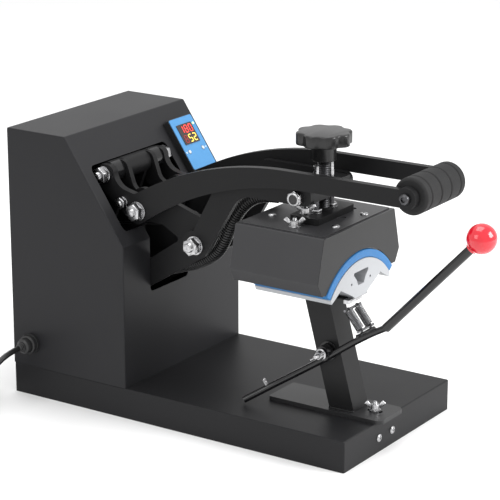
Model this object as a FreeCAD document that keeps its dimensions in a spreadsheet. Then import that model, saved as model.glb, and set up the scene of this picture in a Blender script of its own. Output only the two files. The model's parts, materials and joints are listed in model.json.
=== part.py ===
import FreeCAD, Part
import math
import os
from FreeCAD import Placement, Rotation, Vector

# Cap heat press.  Millimetres, +Z up.  The origin is the middle of the base's underside.
# The operator stands at -Y, where the handle and the ball lever point.  +X is the operator's right.
# The mechanism is not in the middle of the base: its centre plane is at X = centre_x.

os.makedirs("parts", exist_ok=True)
doc = FreeCAD.newDocument("cap_heat_press")

# ---------------------------------------------------------------- driving dimensions

DIMENSIONS = {
    "base_width": 250, "base_length": 490, "base_height": 39, "sheet_metal": 1.5,
    "tower_depth": 175.5, "tower_top_depth": 89, "tower_height": 345, "slope_foot": 219,
    "centre_x": -30, "wide_half": 77.5, "wide_top": 308.5, "wide_bottom": 233,
    "slot_half": 40, "slot_bottom": 149.5,
    "fulcrum_y": 75, "fulcrum_z": 256, "axle_y": 125, "axle_z": 295,
    "pivot_y": -3, "pivot_z": 223, "tail_y": 172, "tail_z": 200,
    "bolt_radius": 6, "pivot_radius": 7, "running_gap": 0.05, "nut_flats": 19, "nut_height": 10,
    "bar_outer": 57, "bar_plate": 9, "lug_outer": 30, "lug_plate": 7,
    "frame_outer": 39, "frame_sheet": 7, "arm_outer": 47, "arm_sheet": 7,
    "grip_y": -297, "grip_z": 328.5, "grip_radius": 22, "grip_half": 45.5, "sleeve_radius": 13.5,
    "screw_y": -155, "screw_radius": 7.5, "knob_radius": 33.5, "knob_height": 15, "knob_top": 376,
    "casing_front": -206, "casing_length": 122, "casing_top": 272, "top_sheet": 1.2,
    "yoke_top": 281.3,
    "arch_z": 144, "arch_radius": 95.7, "pad_outer": 94.5, "pad_inner": 84.7, "pad_length": 104,
    "saddle_front": -208, "saddle_length": 105, "saddle_radius": 84.5,
    "post_x": -32, "post_width": 33, "foot_half": 28, "foot_sheet": 5,
    "lever_y": -176, "lever_z": 115, "rod_radius": 4, "tube_radius": 5.5, "ball_radius": 17.5,
    "spring_radius": 5.5, "conduit_radius": 9.25, "cord_radius": 3.5,
    "button_radius": 2.5, "button_clearance": 0.3, "panel_height": 9, "screw_hole": 2.05, "stud_radius": 3,
    "arm_boss_radius": 18,
}
sheet = doc.addObject("Spreadsheet::Sheet", "Sizes")
for row, (name, value) in enumerate(DIMENSIONS.items(), start=1):
    sheet.set("A%d" % row, name)
    sheet.set("B%d" % row, str(value))
    sheet.setAlias("B%d" % row, name)
doc.recompute()


def size(name):
    """The value of one driving dimension."""
    return float(sheet.get(name))


CENTRE = size("centre_x")
BASE_TOP = size("base_height")
FULCRUM = (size("fulcrum_y"), size("fulcrum_z"))
AXLE = (size("axle_y"), size("axle_z"))
PIVOT = (size("pivot_y"), size("pivot_z"))
TAIL = (size("tail_y"), size("tail_z"))
GRIP = (size("grip_y"), size("grip_z"))
TOWER_BACK = size("base_length") / 2
TOWER_FRONT = TOWER_BACK - size("tower_depth")
TOWER_FOLD = TOWER_BACK - size("tower_top_depth")
SHEET = size("sheet_metal")
TURN = {"X": Rotation(Vector(0, 1, 0), 90), "Y": Rotation(Vector(1, 0, 0), -90), "Z": Rotation()}
parts = {}

# ---------------------------------------------------------------- outlines and sketches


def arc_between(centre, radius, start, end):
    """The shorter arc of a circle between two of its points."""
    first = math.atan2(start.y - centre.y, start.x - centre.x)
    last = math.atan2(end.y - centre.y, end.x - centre.x)
    if (last - first) % (2 * math.pi) > math.pi:
        first, last = last, first
    return Part.ArcOfCircle(Part.Circle(centre, Vector(0, 0, 1), radius), first, last)


def rounded(corners):
    """A closed outline through (across, up, corner radius) points."""
    spots = [Vector(x, y, 0) for x, y, radius in corners]
    starts, ends, arcs = [], [], []
    for i, here in enumerate(spots):
        radius = corners[i][2]
        back = (spots[i - 1] - here).normalize()
        ahead = (spots[(i + 1) % len(spots)] - here).normalize()
        half = back.getAngle(ahead) / 2
        reach = radius / math.tan(half)
        starts.append(here + back * reach)
        ends.append(here + ahead * reach)
        if radius > 0:
            centre = here + (back + ahead).normalize() * (radius / math.sin(half))
            arcs.append(arc_between(centre, radius, starts[-1], ends[-1]))
    lines = [Part.LineSegment(ends[i - 1], starts[i]) for i in range(len(spots))]
    return lines + arcs


def circle(x, y, radius):
    """A closed circular outline."""
    return [Part.Circle(Vector(x, y, 0), Vector(0, 0, 1), radius)]


def upright_box(centre, half_across, half_up, corner):
    """A rectangle about a centre with rounded corners."""
    x, z = centre
    return rounded([(x - half_across, z - half_up, corner), (x + half_across, z - half_up, corner),
                    (x + half_across, z + half_up, corner), (x - half_across, z + half_up, corner)])


def mirrored_corners(half):
    """Corners of an outline that is the same on both sides of the centre plane."""
    right = [(CENTRE + x, y, radius) for x, y, radius in half]
    left = [(CENTRE - x, y, radius) for x, y, radius in reversed(half)]
    return right + left


def sketch(body, role, outlines, offset="0"):
    """A sketch on one of the body's own planes, moved along its normal by a formula."""
    drawn = body.newObject("Sketcher::SketchObject", body.Name + "_sketch")
    plane = next(f for f in body.Origin.OriginFeatures if f.Role == role)
    drawn.AttachmentSupport = [(plane, "")]
    drawn.MapMode = "FlatFace"
    drawn.setExpression("AttachmentOffset.Base.z", offset)
    for outline in outlines:
        drawn.addGeometry(outline, False)
    return drawn


def feature(body, kind, drawn, length, reverse=False):
    """A Pad or Pocket of a sketch with its length given by a formula."""
    made = body.newObject("PartDesign::" + kind, body.Name + "_" + kind)
    made.Profile = drawn
    made.setExpression("Length", length)
    made.Reversed = reverse
    drawn.Visibility = False
    return made


def new_body(name, place=None):
    """An empty body that becomes one exported sub-part."""
    body = doc.addObject("PartDesign::Body", name)
    body.Label = name
    if place:
        body.Placement = place
    parts[name] = body
    return body


def padded(name, role, outlines, length, offset="0", place=None):
    """A body that is one extruded sketch."""
    body = new_body(name, place)
    feature(body, "Pad", sketch(body, role, outlines, offset), length)
    return body


def side_plate(name, outline, holes, thickness, left_face, lobes=()):
    """An upright plate cut from flat steel: its outline is drawn in Y and Z, its left face at a formula."""
    body = new_body(name)
    feature(body, "Pad", sketch(body, "YZ_Plane", [outline]), thickness)
    for y, z, radius in lobes:
        feature(body, "Pad", sketch(body, "YZ_Plane", [circle(y, z, radius)]), thickness)
    for y, z, radius in holes:
        feature(body, "Pocket", sketch(body, "YZ_Plane", [circle(y, z, radius)]), thickness, True)
    body.setExpression(".Placement.Base.x", left_face)
    return body


def revolved(name, profile, place):
    """A body turned about its own Z axis from (radius, height, corner radius) points."""
    body = new_body(name, place)
    drawn = sketch(body, "XZ_Plane", [rounded(profile)])
    turned = body.newObject("PartDesign::Revolution", name + "_turned")
    turned.Profile = drawn
    turned.ReferenceAxis = (drawn, ["V_Axis"])
    turned.Angle = 360
    return body


# ---------------------------------------------------------------- primitives and groups


def place_at(spot, axis="Z"):
    """A placement at a point with local Z turned along the named axis."""
    return Placement(Vector(*spot), TURN[axis])


def cylinder(radius, length, place):
    """A round bar; radius and length are formulas."""
    made = doc.addObject("Part::Cylinder", "round_bar")
    made.setExpression("Radius", radius)
    made.setExpression("Height", length)
    made.Placement = place
    return made


def hexagon(flats, length, place):
    """A hexagonal bar across its flats; both sizes are formulas."""
    made = doc.addObject("Part::Prism", "hex_bar")
    made.Polygon = 6
    made.setExpression("Circumradius", "(%s) / cos(30)" % flats + " / 2")
    made.setExpression("Height", length)
    made.Placement = place
    return made


def block(lengths, place):
    """A rectangular bar; its three lengths are formulas."""
    made = doc.addObject("Part::Box", "flat_bar")
    for side, formula in zip(("Length", "Width", "Height"), lengths):
        made.setExpression(side, formula)
    made.Placement = place
    return made


def cut(base, tool):
    """One solid with another taken out of it."""
    made = doc.addObject("Part::Cut", "drilled")
    made.Base = base
    made.Tool = tool
    return made


def fuse(name, solids):
    """Solids welded into one sub-part."""
    made = doc.addObject("Part::MultiFuse", name)
    made.Shapes = solids
    made.Label = name
    parts[name] = made
    return made


def group(name, solids):
    """Separate solids, such as a bolt and its nuts, kept together as one sub-part."""
    made = doc.addObject("Part::Compound", name)
    made.Links = solids
    made.Label = name
    parts[name] = made
    return made


def keep(name, solid):
    """Name a primitive or a cut as a sub-part."""
    solid.Label = name
    parts[name] = solid
    return solid


def shaped(name, shape):
    """A sub-part whose shape comes from Part functions, for swept rods and cords."""
    made = doc.addObject("Part::Feature", name)
    made.Label = name
    made.Shape = shape
    made.Placement = Placement()
    parts[name] = made
    return made


def ring(outer, inner, length, place):
    """A tube or washer; its sizes are formulas."""
    return cut(cylinder(outer, length, place), cylinder(inner, length, place))


def nut(flats, hole, length, place):
    """A hexagonal nut."""
    return cut(hexagon(flats, length, place), cylinder(hole, length, place))


def wing_nut(place):
    """A wing nut on local Z with two raised wings, one solid."""
    hub = cylinder("6", "7", place)
    wings = []
    for side in (-1, 1):
        turned = Rotation(Vector(0, 0, 1), 90 - 90 * side)
        lean = turned.multiply(Rotation(Vector(0, 1, 0), 32))
        local = Placement(turned.multVec(Vector(1.5, -1.25, 3.2)), lean)
        wings.append(block(("3.2", "2.5", "8.5"), place.multiply(local)))
    welded = doc.addObject("Part::MultiFuse", "wing_nut")
    welded.Shapes = [hub] + wings
    return cut(welded, cylinder("Sizes.stud_radius", "14", place))


def pan_screw(spot, direction, shank):
    """A pan-head screw whose head stands out of a face along a direction."""
    place = Placement(Vector(*spot), Rotation(Vector(0, 0, 1), Vector(*direction)))
    head = doc.addObject("Part::Cone", "screw_head")
    head.Radius1 = 5
    head.Radius2 = 3.2
    head.Height = 2.6
    head.Placement = place
    inward = Placement(Vector(0, 0, -shank), Rotation())
    body = cylinder("2", str(shank), place.multiply(inward))
    screw = doc.addObject("Part::MultiFuse", "pan_screw")
    screw.Shapes = [head, body]
    return screw


# ---------------------------------------------------------------- routes of rods and cords


def route_wire(points):
    """Straight runs joined by tangent arcs, each as large as its two runs allow.  Returns wire and radii."""
    spots = [Vector(*point) for point in points]
    edges, radii = [], []
    leave = spots[0]
    for i in range(1, len(spots) - 1):
        here = spots[i]
        back = spots[i - 1] - here
        ahead = spots[i + 1] - here
        reach = 0.45 * min(back.Length, ahead.Length)
        half_inside = back.getAngle(ahead) / 2
        radius = reach * math.tan(half_inside)
        radii.append(radius)
        back.normalize()
        ahead.normalize()
        start = here + back * reach
        end = here + ahead * reach
        inward = (back + ahead).normalize()
        middle = here + inward * (radius / math.sin(half_inside) - radius)
        edges.append(Part.LineSegment(leave, start).toShape())
        edges.append(Part.Arc(start, middle, end).toShape())
        leave = end
    edges.append(Part.LineSegment(leave, spots[-1]).toShape())
    return Part.Wire(edges), radii


def swept(name, points, radius):
    """A round rod, tube or cord along a route; prints its bend radii and checks its volume."""
    wire, radii = route_wire(points)
    start = wire.Edges[0]
    section = Part.Wire(Part.makeCircle(radius, start.valueAt(0), start.tangentAt(0)))
    solid = wire.makePipeShell([section], True, False)
    expected = math.pi * radius ** 2 * wire.Length
    print(name, "radii", [round(r, 1) for r in radii], "length", round(wire.Length, 1),
          "volume ratio", round(solid.Volume / expected, 4))
    return solid


# ---------------------------------------------------------------- base

base = new_body("base_tray")
half_width = size("base_width") / 2
half_length = size("base_length") / 2
outer = rounded([(-half_width, -half_length, 2), (half_width, -half_length, 2),
                 (half_width, half_length, 2), (-half_width, half_length, 2)])
shell = feature(base, "Pad", sketch(base, "XY_Plane", [outer]), "Sizes.base_height")
doc.recompute()
top_edges = ["Edge%d" % (i + 1) for i, edge in enumerate(shell.Shape.Edges)
             if edge.BoundBox.ZMin > BASE_TOP - 0.01]
softened = base.newObject("PartDesign::Fillet", "base_top_bend")
softened.Base = (shell, top_edges)
softened.Radius = 1.8
inner = rounded([(-half_width + SHEET, -half_length + SHEET, 0.4),
                 (half_width - SHEET, -half_length + SHEET, 0.4),
                 (half_width - SHEET, half_length - SHEET, 0.4),
                 (-half_width + SHEET, half_length - SHEET, 0.4)])
feature(base, "Pocket", sketch(base, "XY_Plane", [inner]), "Sizes.base_height - Sizes.sheet_metal", True)

FRONT_SCREWS = [(CENTRE - 15.5, 18), (CENTRE + 15.5, 18)]
feature(base, "Pocket", sketch(base, "XZ_Plane", [circle(x, z, size("screw_hole")) for x, z in FRONT_SCREWS],
                               "Sizes.base_length / 2 - Sizes.sheet_metal - 1"), "10", True)

keep("base_bottom", block(("Sizes.base_width - 3.4", "Sizes.base_length - 3.4", "Sizes.sheet_metal"),
                          place_at((-half_width + 1.7, -half_length + 1.7, 0))))

# ---------------------------------------------------------------- tower

tower = new_body("tower_shell")
profile = rounded([(TOWER_FRONT, BASE_TOP, 0), (TOWER_BACK, BASE_TOP, 0),
                   (TOWER_BACK, size("tower_height"), 0), (TOWER_FOLD, size("tower_height"), 3),
                   (TOWER_FRONT, size("slope_foot"), 3)])
solid_tower = feature(tower, "Pad", sketch(tower, "YZ_Plane", [profile], "-Sizes.base_width / 2"),
                      "Sizes.base_width")
doc.recompute()
side_edges = []
for i, edge in enumerate(solid_tower.Shape.Edges):
    box = edge.BoundBox
    on_side = box.XMax - box.XMin < 0.01
    in_front = box.YMax < TOWER_BACK - 0.01 or box.ZMin > size("tower_height") - 0.01
    if on_side and in_front and box.ZMax > BASE_TOP + 0.01:
        side_edges.append("Edge%d" % (i + 1))
tower_bend = tower.newObject("PartDesign::Fillet", "tower_side_bend")
tower_bend.Base = (solid_tower, side_edges)
tower_bend.Radius = 1.8
slope_drop = SHEET * 0.55
inside = rounded([(TOWER_FRONT + SHEET, BASE_TOP - 1, 0), (TOWER_BACK + 1, BASE_TOP - 1, 0),
                  (TOWER_BACK + 1, size("tower_height") - SHEET, 0),
                  (TOWER_FOLD + slope_drop, size("tower_height") - SHEET, 1.5),
                  (TOWER_FRONT + SHEET, size("slope_foot") - slope_drop, 1.5)])
feature(tower, "Pocket", sketch(tower, "YZ_Plane", [inside], "-Sizes.base_width / 2 + Sizes.sheet_metal"),
        "Sizes.base_width - 2 * Sizes.sheet_metal", True)
opening = rounded(mirrored_corners([
    (size("slot_half"), size("slot_bottom"), 6), (size("slot_half"), size("wide_bottom"), 3),
    (size("wide_half"), size("wide_bottom"), 8), (size("wide_half"), size("wide_top"), 7)]))
feature(tower, "Pocket", sketch(tower, "XZ_Plane", [opening]), "Sizes.base_length / 2 - 40")

GLAND = (-half_width, 216, 70)
feature(tower, "Pocket", sketch(tower, "YZ_Plane", [circle(GLAND[1], GLAND[2], 8.05)],
                                "-Sizes.base_width / 2"), "4", True)

vents = []
for column in range(2):
    for line in range(7):
        x = -95 + 110 * column
        z = 200 + 14 * line
        vents.append(rounded([(x, z, 2), (x + 80, z, 2), (x + 80, z + 5, 2), (x, z + 5, 2)]))
SWITCH = (70, 85)
COVER_INSET = SHEET + 0.2
cover_half = half_width - COVER_INSET
cover_top = size("tower_height") - COVER_INSET
cover_edge = rounded([(-cover_half, BASE_TOP + 0.3, 1), (cover_half, BASE_TOP + 0.3, 1),
                      (cover_half, cover_top, 1), (-cover_half, cover_top, 1)])
BACK_SCREWS = [(x, z) for x in (-112, 0, 112) for z in (52, 332)]
screw_holes = [circle(x, z, size("screw_hole")) for x, z in BACK_SCREWS]
switch_hole = upright_box(SWITCH, 14, 10.5, 1)
padded("tower_back", "XZ_Plane", [cover_edge, switch_hole] + vents + screw_holes, "Sizes.sheet_metal",
       "-Sizes.base_length / 2 + 0.2")

screws = []
for x, z in BACK_SCREWS:
    screws.append(pan_screw((x, TOWER_BACK - 0.2, z), (0, 1, 0), 8))
for x, z in FRONT_SCREWS:
    screws.append(pan_screw((x, -half_length, z), (0, -1, 0), 8))
group("case_screws", screws)

switch_frame = new_body("power_switch")
switch_face = "-Sizes.base_length / 2 + 0.2"
for kind, outline, face, depth, outwards in (
        ("Pad", upright_box(SWITCH, 13.7, 10.2, 1), switch_face, "20", False),
        ("Pad", upright_box(SWITCH, 16, 12.5, 2), switch_face, "2", True),
        ("Pocket", upright_box(SWITCH, 11.5, 8, 1), "-Sizes.base_length / 2 - 1.8", "10", True)):
    feature(switch_frame, kind, sketch(switch_frame, "XZ_Plane", [outline], face), depth, outwards)
ROCKER = (SWITCH[0], TOWER_BACK - 0.2, SWITCH[1])
rocker_profile = rounded([(-6, -4, 1), (6, -4, 1), (10.3, 2.2, 1), (0, 3.4, 0), (-10.3, 5.0, 1)])
rocker = padded("power_rocker", "XZ_Plane", [rocker_profile], "14", "-7",
                Placement(Vector(*ROCKER), Rotation(Vector(1, 0, 0), -90)))
feature(rocker, "Pad", sketch(rocker, "XZ_Plane", [circle(0, 0, 1.5)], "-7.5"), "15")

# ---------------------------------------------------------------- fixed frame inside the tower

gap = size("running_gap")
frame_outline = rounded([(-24, 251, 16), (62, 278, 12), (90, 282, 16), (98, 262, 12), (98, 190, 8),
                         (150, 190, 8), (150, BASE_TOP, 0), (95, BASE_TOP, 0), (95, 141, 12), (-10, 207, 16)])
frame_window = rounded([(24, 224, 4), (51, 239, 10), (82, 239, 8), (82, 184, 8)])
for side, left_face in (("left", "Sizes.centre_x - Sizes.frame_outer"),
                        ("right", "Sizes.centre_x + Sizes.frame_outer - Sizes.frame_sheet")):
    plate = side_plate("frame_plate_" + side, frame_outline,
                       [(*FULCRUM, size("bolt_radius") + gap), (*PIVOT, size("pivot_radius") + gap)],
                       "Sizes.frame_sheet", left_face)
    feature(plate, "Pocket", sketch(plate, "YZ_Plane", [frame_window]), "Sizes.frame_sheet", True)


def cross_bolt(name, y, z, radius, outer_face, washer):
    """A bolt across the machine with a nut and washer outside each outer face."""
    reach = "Sizes.%s + 0.3 + %s + Sizes.nut_height" % (outer_face, washer)
    left = CENTRE - size(outer_face) - 0.3 - float(washer) - size("nut_height")
    solids = [cylinder("Sizes." + radius, "2 * (%s) + 4" % reach, place_at((left - 2, y, z), "X"))]
    hole = "Sizes.%s" % radius
    for direction in (-1, 1):
        face = CENTRE + direction * (size(outer_face) + 0.3)
        washer_left = min(face, face + direction * float(washer))
        nut_left = min(face + direction * float(washer),
                       face + direction * (float(washer) + size("nut_height")))
        solids.append(nut("Sizes.nut_flats", hole, "Sizes.nut_height", place_at((nut_left, y, z), "X")))
        solids.append(ring("Sizes.nut_flats * 0.62", hole, washer, place_at((washer_left, y, z), "X")))
    return group(name, solids)


cross_bolt("fulcrum_bolt", *FULCRUM, "bolt_radius", "bar_outer", "1.5")

# ---------------------------------------------------------------- handle

STOP = (97, 263.5)
STOP_RADIUS = 4
STOP_NUT = 6.5
bar_outline = rounded([(GRIP[0] - 8, 338.5, 4), (-26, 337, 418), (79, 276.5, 6), (108, 283, 22),
                       (111.5, 307.3, 9), (138.5, 307.3, 12.3), (138.5, 285, 11), (87, 243.5, 12),
                       (74, 239, 8), (-50.7, 316.5, 400), (GRIP[0] - 8, 317.5, 4)])
for side, left_face in (("left", "Sizes.centre_x - Sizes.bar_outer"),
                        ("right", "Sizes.centre_x + Sizes.bar_outer - Sizes.bar_plate")):
    side_plate("handle_bar_" + side, bar_outline,
               [(*FULCRUM, size("bolt_radius") + gap), (*AXLE, size("bolt_radius")), (*GRIP, 5),
                (*STOP, STOP_RADIUS)],
               "Sizes.bar_plate", left_face, lobes=[(*GRIP, 13)])
lug_outline = rounded([(139, 308, 13), (111.5, 308, 10), (99, 272, 14), (62, 272, 13), (60, 246, 12),
                       (86, 238, 14), (112, 262, 40), (138, 284, 13)])
for side, left_face in (("left", "Sizes.centre_x - Sizes.lug_outer"),
                        ("right", "Sizes.centre_x + Sizes.lug_outer - Sizes.lug_plate")):
    side_plate("inner_lug_" + side, lug_outline,
               [(*FULCRUM, size("bolt_radius") + gap), (*AXLE, size("bolt_radius"))],
               "Sizes.lug_plate", left_face)
sleeve_gap = "Sizes.bar_outer - Sizes.bar_plate - Sizes.lug_outer"
group("rear_sleeves", [
    ring("Sizes.sleeve_radius", "Sizes.bolt_radius", sleeve_gap,
         place_at((CENTRE - size("bar_outer") + size("bar_plate"), *AXLE), "X")),
    ring("Sizes.sleeve_radius", "Sizes.bolt_radius", sleeve_gap,
         place_at((CENTRE + size("lug_outer"), *AXLE), "X"))])
axle_left = CENTRE - size("bar_outer") - size("nut_height")
group("rear_axle_bolt", [
    cylinder("Sizes.bolt_radius", "2 * (Sizes.bar_outer + Sizes.nut_height) + 4",
             place_at((axle_left - 2, *AXLE), "X")),
    nut("Sizes.nut_flats", "Sizes.bolt_radius", "Sizes.nut_height", place_at((axle_left, *AXLE), "X")),
    nut("Sizes.nut_flats", "Sizes.bolt_radius", "Sizes.nut_height",
        place_at((CENTRE + size("bar_outer"), *AXLE), "X"))])
stops = []
for direction in (-1, 1):
    inner_face = CENTRE + direction * (size("bar_outer") - size("bar_plate"))
    outer_face = CENTRE + direction * size("bar_outer")
    shank_left = min(inner_face - direction * 3, outer_face + direction * 8)
    stops.append(cylinder(str(STOP_RADIUS), "Sizes.bar_plate + 11", place_at((shank_left, *STOP), "X")))
    nut_left = min(outer_face, outer_face + direction * STOP_NUT)
    stops.append(nut("13", str(STOP_RADIUS), str(STOP_NUT), place_at((nut_left, *STOP), "X")))
group("stop_bolts", stops)
grip_inner = size("bar_outer") - size("bar_plate")
keep("grip_axle", cylinder("6.5", "2 * (Sizes.bar_outer - Sizes.bar_plate)",
                           place_at((CENTRE - grip_inner, *GRIP), "X")))
keep("foam_grip", ring("Sizes.grip_radius", "6.5", "2 * Sizes.grip_half",
                       place_at((CENTRE - size("grip_half"), *GRIP), "X")))
grip_screws = []
for direction in (-1, 1):
    face = CENTRE + direction * size("bar_outer")
    shank_left = min(face, face - direction * size("bar_plate"))
    grip_screws.append(cylinder("4.95", "Sizes.bar_plate", place_at((shank_left, *GRIP), "X")))
    head_left = min(face, face + direction * 5)
    head = cylinder("6.5", "5", place_at((head_left, *GRIP), "X"))
    socket_left = min(face + direction * 2, face + direction * 5)
    grip_screws.append(cut(head, hexagon("6", "3", place_at((socket_left, *GRIP), "X"))))
group("grip_screws", grip_screws)

# ---------------------------------------------------------------- toggle link, free at its lower eye

EYE_RADIUS = 9.5
link_outline = rounded([(AXLE[0] - 15, AXLE[1] + 4, 14), (AXLE[0] + 10, AXLE[1] + 12, 13),
                        (TAIL[0] + 17, TAIL[1] + 2, 14), (TAIL[0] + 6, TAIL[1] - 18, 14),
                        (TAIL[0] - 18, TAIL[1] - 8, 14)])
link_face = Part.Face(Part.Wire(Part.sortEdges([edge.toShape() for edge in link_outline])[0]))
upright = Placement(Vector(0, 0, 0), Rotation(Vector(1, 1, 1), 120))
link_shapes = []
for left_face in (CENTRE - 20, CENTRE + 14):
    plate = link_face.copy()
    plate.Placement = upright
    plate = plate.extrude(Vector(6, 0, 0))
    plate.translate(Vector(left_face, 0, 0))
    link_shapes.append(plate)
tube_half = size("lug_outer") - size("lug_plate") - 0.3
tube = Part.makeCylinder(size("sleeve_radius"), 2 * tube_half,
                         Vector(CENTRE - tube_half, *AXLE), Vector(1, 0, 0))
bore = Part.makeCylinder(size("bolt_radius") + gap, 2 * tube_half,
                         Vector(CENTRE - tube_half, *AXLE), Vector(1, 0, 0))
eyes = Part.makeCylinder(EYE_RADIUS, 60, Vector(CENTRE - 30, *TAIL), Vector(1, 0, 0))
link_solid = tube.fuse(link_shapes).cut(bore).cut(eyes).removeSplitter()
shaped("toggle_link", link_solid)

# ---------------------------------------------------------------- arm

BLOCK_BOLT = (-148, 304.5)
BLOCK_BOLT_RADIUS = 4
arm_outline = rounded([(4, 232, 6), (-42.5, 318, 12), (-167, 318, 8), (-167, 296, 8), (-68, 295, 28),
                       (-14, 206, 4)])
for side, left_face in (("left", "Sizes.centre_x - Sizes.arm_outer"),
                        ("right", "Sizes.centre_x + Sizes.arm_outer - Sizes.arm_sheet")):
    side_plate("arm_plate_" + side, arm_outline,
               [(*PIVOT, size("pivot_radius")), (*BLOCK_BOLT, BLOCK_BOLT_RADIUS)],
               "Sizes.arm_sheet", left_face, lobes=[(*PIVOT, size("arm_boss_radius"))])
cross_bolt("arm_pivot_bolt", *PIVOT, "pivot_radius", "arm_outer", "2")

tail_outline = rounded([(PIVOT[0] - 14, PIVOT[1] + 12, 12), (20, PIVOT[1] + 12, 30),
                        (TAIL[0] + 12, TAIL[1] + 11, 11), (TAIL[0] + 12, TAIL[1] - 11, 11),
                        (PIVOT[0] - 14, PIVOT[1] - 14, 12)])
tail_face = Part.Face(Part.Wire(Part.sortEdges([edge.toShape() for edge in tail_outline])[0]))
tail_shapes = []
for left_face in (CENTRE - 7, CENTRE + 3):
    plate = tail_face.copy()
    plate.Placement = upright
    plate = plate.extrude(Vector(4, 0, 0))
    plate.translate(Vector(left_face, 0, 0))
    tail_shapes.append(plate)
tail_hub = Part.makeCylinder(13, 14, Vector(CENTRE - 7, *PIVOT), Vector(1, 0, 0))
tail_pin = Part.makeCylinder(4, 46, Vector(CENTRE - 23, *TAIL), Vector(1, 0, 0))
hub_bore = Part.makeCylinder(size("pivot_radius"), 14, Vector(CENTRE - 7, *PIVOT), Vector(1, 0, 0))
shaped("arm_tail", tail_hub.fuse(tail_shapes + [tail_pin]).cut(hub_bore).removeSplitter())

GUIDE_RADIUS = 4
GUIDE_OFFSET = 17
block_half = size("arm_outer") - size("arm_sheet")
screw_block = padded("screw_block", "XY_Plane", [
    rounded([(CENTRE - block_half, size("screw_y") - 12, 0), (CENTRE + block_half, size("screw_y") - 12, 0),
             (CENTRE + block_half, size("screw_y") + 14, 0), (CENTRE - block_half, size("screw_y") + 14, 0)]),
    circle(CENTRE, size("screw_y"), size("screw_radius") + gap),
    circle(CENTRE + GUIDE_OFFSET, size("screw_y"), GUIDE_RADIUS + gap),
    circle(CENTRE - GUIDE_OFFSET, size("screw_y"), GUIDE_RADIUS + gap)], "17", "299.5")
for offset in ("Sizes.centre_x - Sizes.arm_outer + Sizes.arm_sheet",
               "Sizes.centre_x + Sizes.arm_outer - Sizes.arm_sheet - 13"):
    bolt_hole = sketch(screw_block, "YZ_Plane", [circle(*BLOCK_BOLT, BLOCK_BOLT_RADIUS)], offset)
    feature(screw_block, "Pocket", bolt_hole, "13", True)
block_bolts = []
for direction in (-1, 1):
    outer_face = CENTRE + direction * size("arm_outer")
    inner_end = outer_face - direction * 19
    bolt_left = min(inner_end, outer_face + direction * 8)
    block_bolts.append(cylinder(str(BLOCK_BOLT_RADIUS), "27", place_at((bolt_left, *BLOCK_BOLT), "X")))
    nut_left = min(outer_face, outer_face + direction * 8)
    block_bolts.append(nut("17", str(BLOCK_BOLT_RADIUS), "8", place_at((nut_left, *BLOCK_BOLT), "X")))
group("block_bolts", block_bolts)

# ---------------------------------------------------------------- pressure knob and screw

knob_bottom = size("knob_top") - size("knob_height")
knob = new_body("pressure_knob", Placement(Vector(CENTRE, size("screw_y"), knob_bottom), Rotation()))
feature(knob, "Pad", sketch(knob, "XY_Plane", [circle(0, 0, size("knob_radius") - 4)]), "Sizes.knob_height")
lobe = feature(knob, "Pad", sketch(knob, "XY_Plane", [circle(size("knob_radius") - 7.5, 0, 7.5)]),
               "Sizes.knob_height")
doc.recompute()
lobes = knob.newObject("PartDesign::PolarPattern", "knob_lobes")
lobes.Originals = [lobe]
lobes.Axis = (next(f for f in knob.Origin.OriginFeatures if f.Role == "Z_Axis"), [""])
lobes.Angle = 360
lobes.Occurrences = 8
knob.Tip = lobes
feature(knob, "Pad", sketch(knob, "XY_Plane", [circle(0, 0, 15)]), "20", True)
feature(knob, "Pocket", sketch(knob, "XY_Plane", [circle(0, 0, size("screw_radius"))], "-20"), "28", True)
COLLAR_RADIUS = 10
fuse("pressure_screw", [
    cylinder("Sizes.screw_radius", "88", place_at((CENTRE, size("screw_y"), 281))),
    cylinder(str(COLLAR_RADIUS), "3.4", place_at((CENTRE, size("screw_y"), 277.6)))])

# ---------------------------------------------------------------- heated head

casing = new_body("head_casing")
FLARE = [(83, 204), (92, 220), (79, size("casing_top"))]


def casing_corners(inset, bottom, corner):
    """Half of the casing's cross-section, moved in by a wall thickness."""
    return [(FLARE[0][0] - inset, bottom, corner / 2), (FLARE[1][0] - inset * 1.1, FLARE[1][1], corner),
            (FLARE[2][0] - inset, FLARE[2][1] - inset, corner)]


outer_section = rounded(mirrored_corners(casing_corners(0, FLARE[0][1], 2)))
feature(casing, "Pad", sketch(casing, "XZ_Plane", [outer_section], "-Sizes.casing_front"),
        "Sizes.casing_length", True)
arch = circle(CENTRE, size("arch_z"), size("arch_radius"))
feature(casing, "Pocket", sketch(casing, "XZ_Plane", [arch], "-Sizes.casing_front"), "Sizes.casing_length")
room_section = rounded(mirrored_corners(casing_corners(SHEET, FLARE[0][1] + SHEET, 1)))
hollow = sketch(casing, "XZ_Plane", [room_section], "-Sizes.casing_front - Sizes.sheet_metal")
feature(casing, "Pocket", hollow, "Sizes.casing_length - 2 * Sizes.sheet_metal")
PLATE_SCREWS = [(CENTRE + x, y) for x in (-32, 32) for y in (-192, -104)]
CASING_STUD = (CENTRE - 58, -152)
plate_holes = [circle(x, y, size("screw_hole")) for x, y in PLATE_SCREWS]
plate_holes.append(circle(*CASING_STUD, size("stud_radius") + gap))
feature(casing, "Pocket", sketch(casing, "XY_Plane", plate_holes, "Sizes.casing_top"), "3")


def arch_band(inner, outer, half_angle):
    """A band of an arch about the saddle's axis, drawn in X and Z."""
    low = math.radians(90 - half_angle)
    high = math.radians(90 + half_angle)
    centre = Vector(CENTRE, size("arch_z"), 0)
    edges = []
    ends = []
    for radius in (inner, outer):
        edges.append(Part.ArcOfCircle(Part.Circle(centre, Vector(0, 0, 1), radius), low, high))
        ends.append([centre + Vector(radius * math.cos(a), radius * math.sin(a), 0) for a in (low, high)])
    edges.append(Part.LineSegment(ends[0][0], ends[1][0]))
    edges.append(Part.LineSegment(ends[0][1], ends[1][1]))
    return edges


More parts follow.
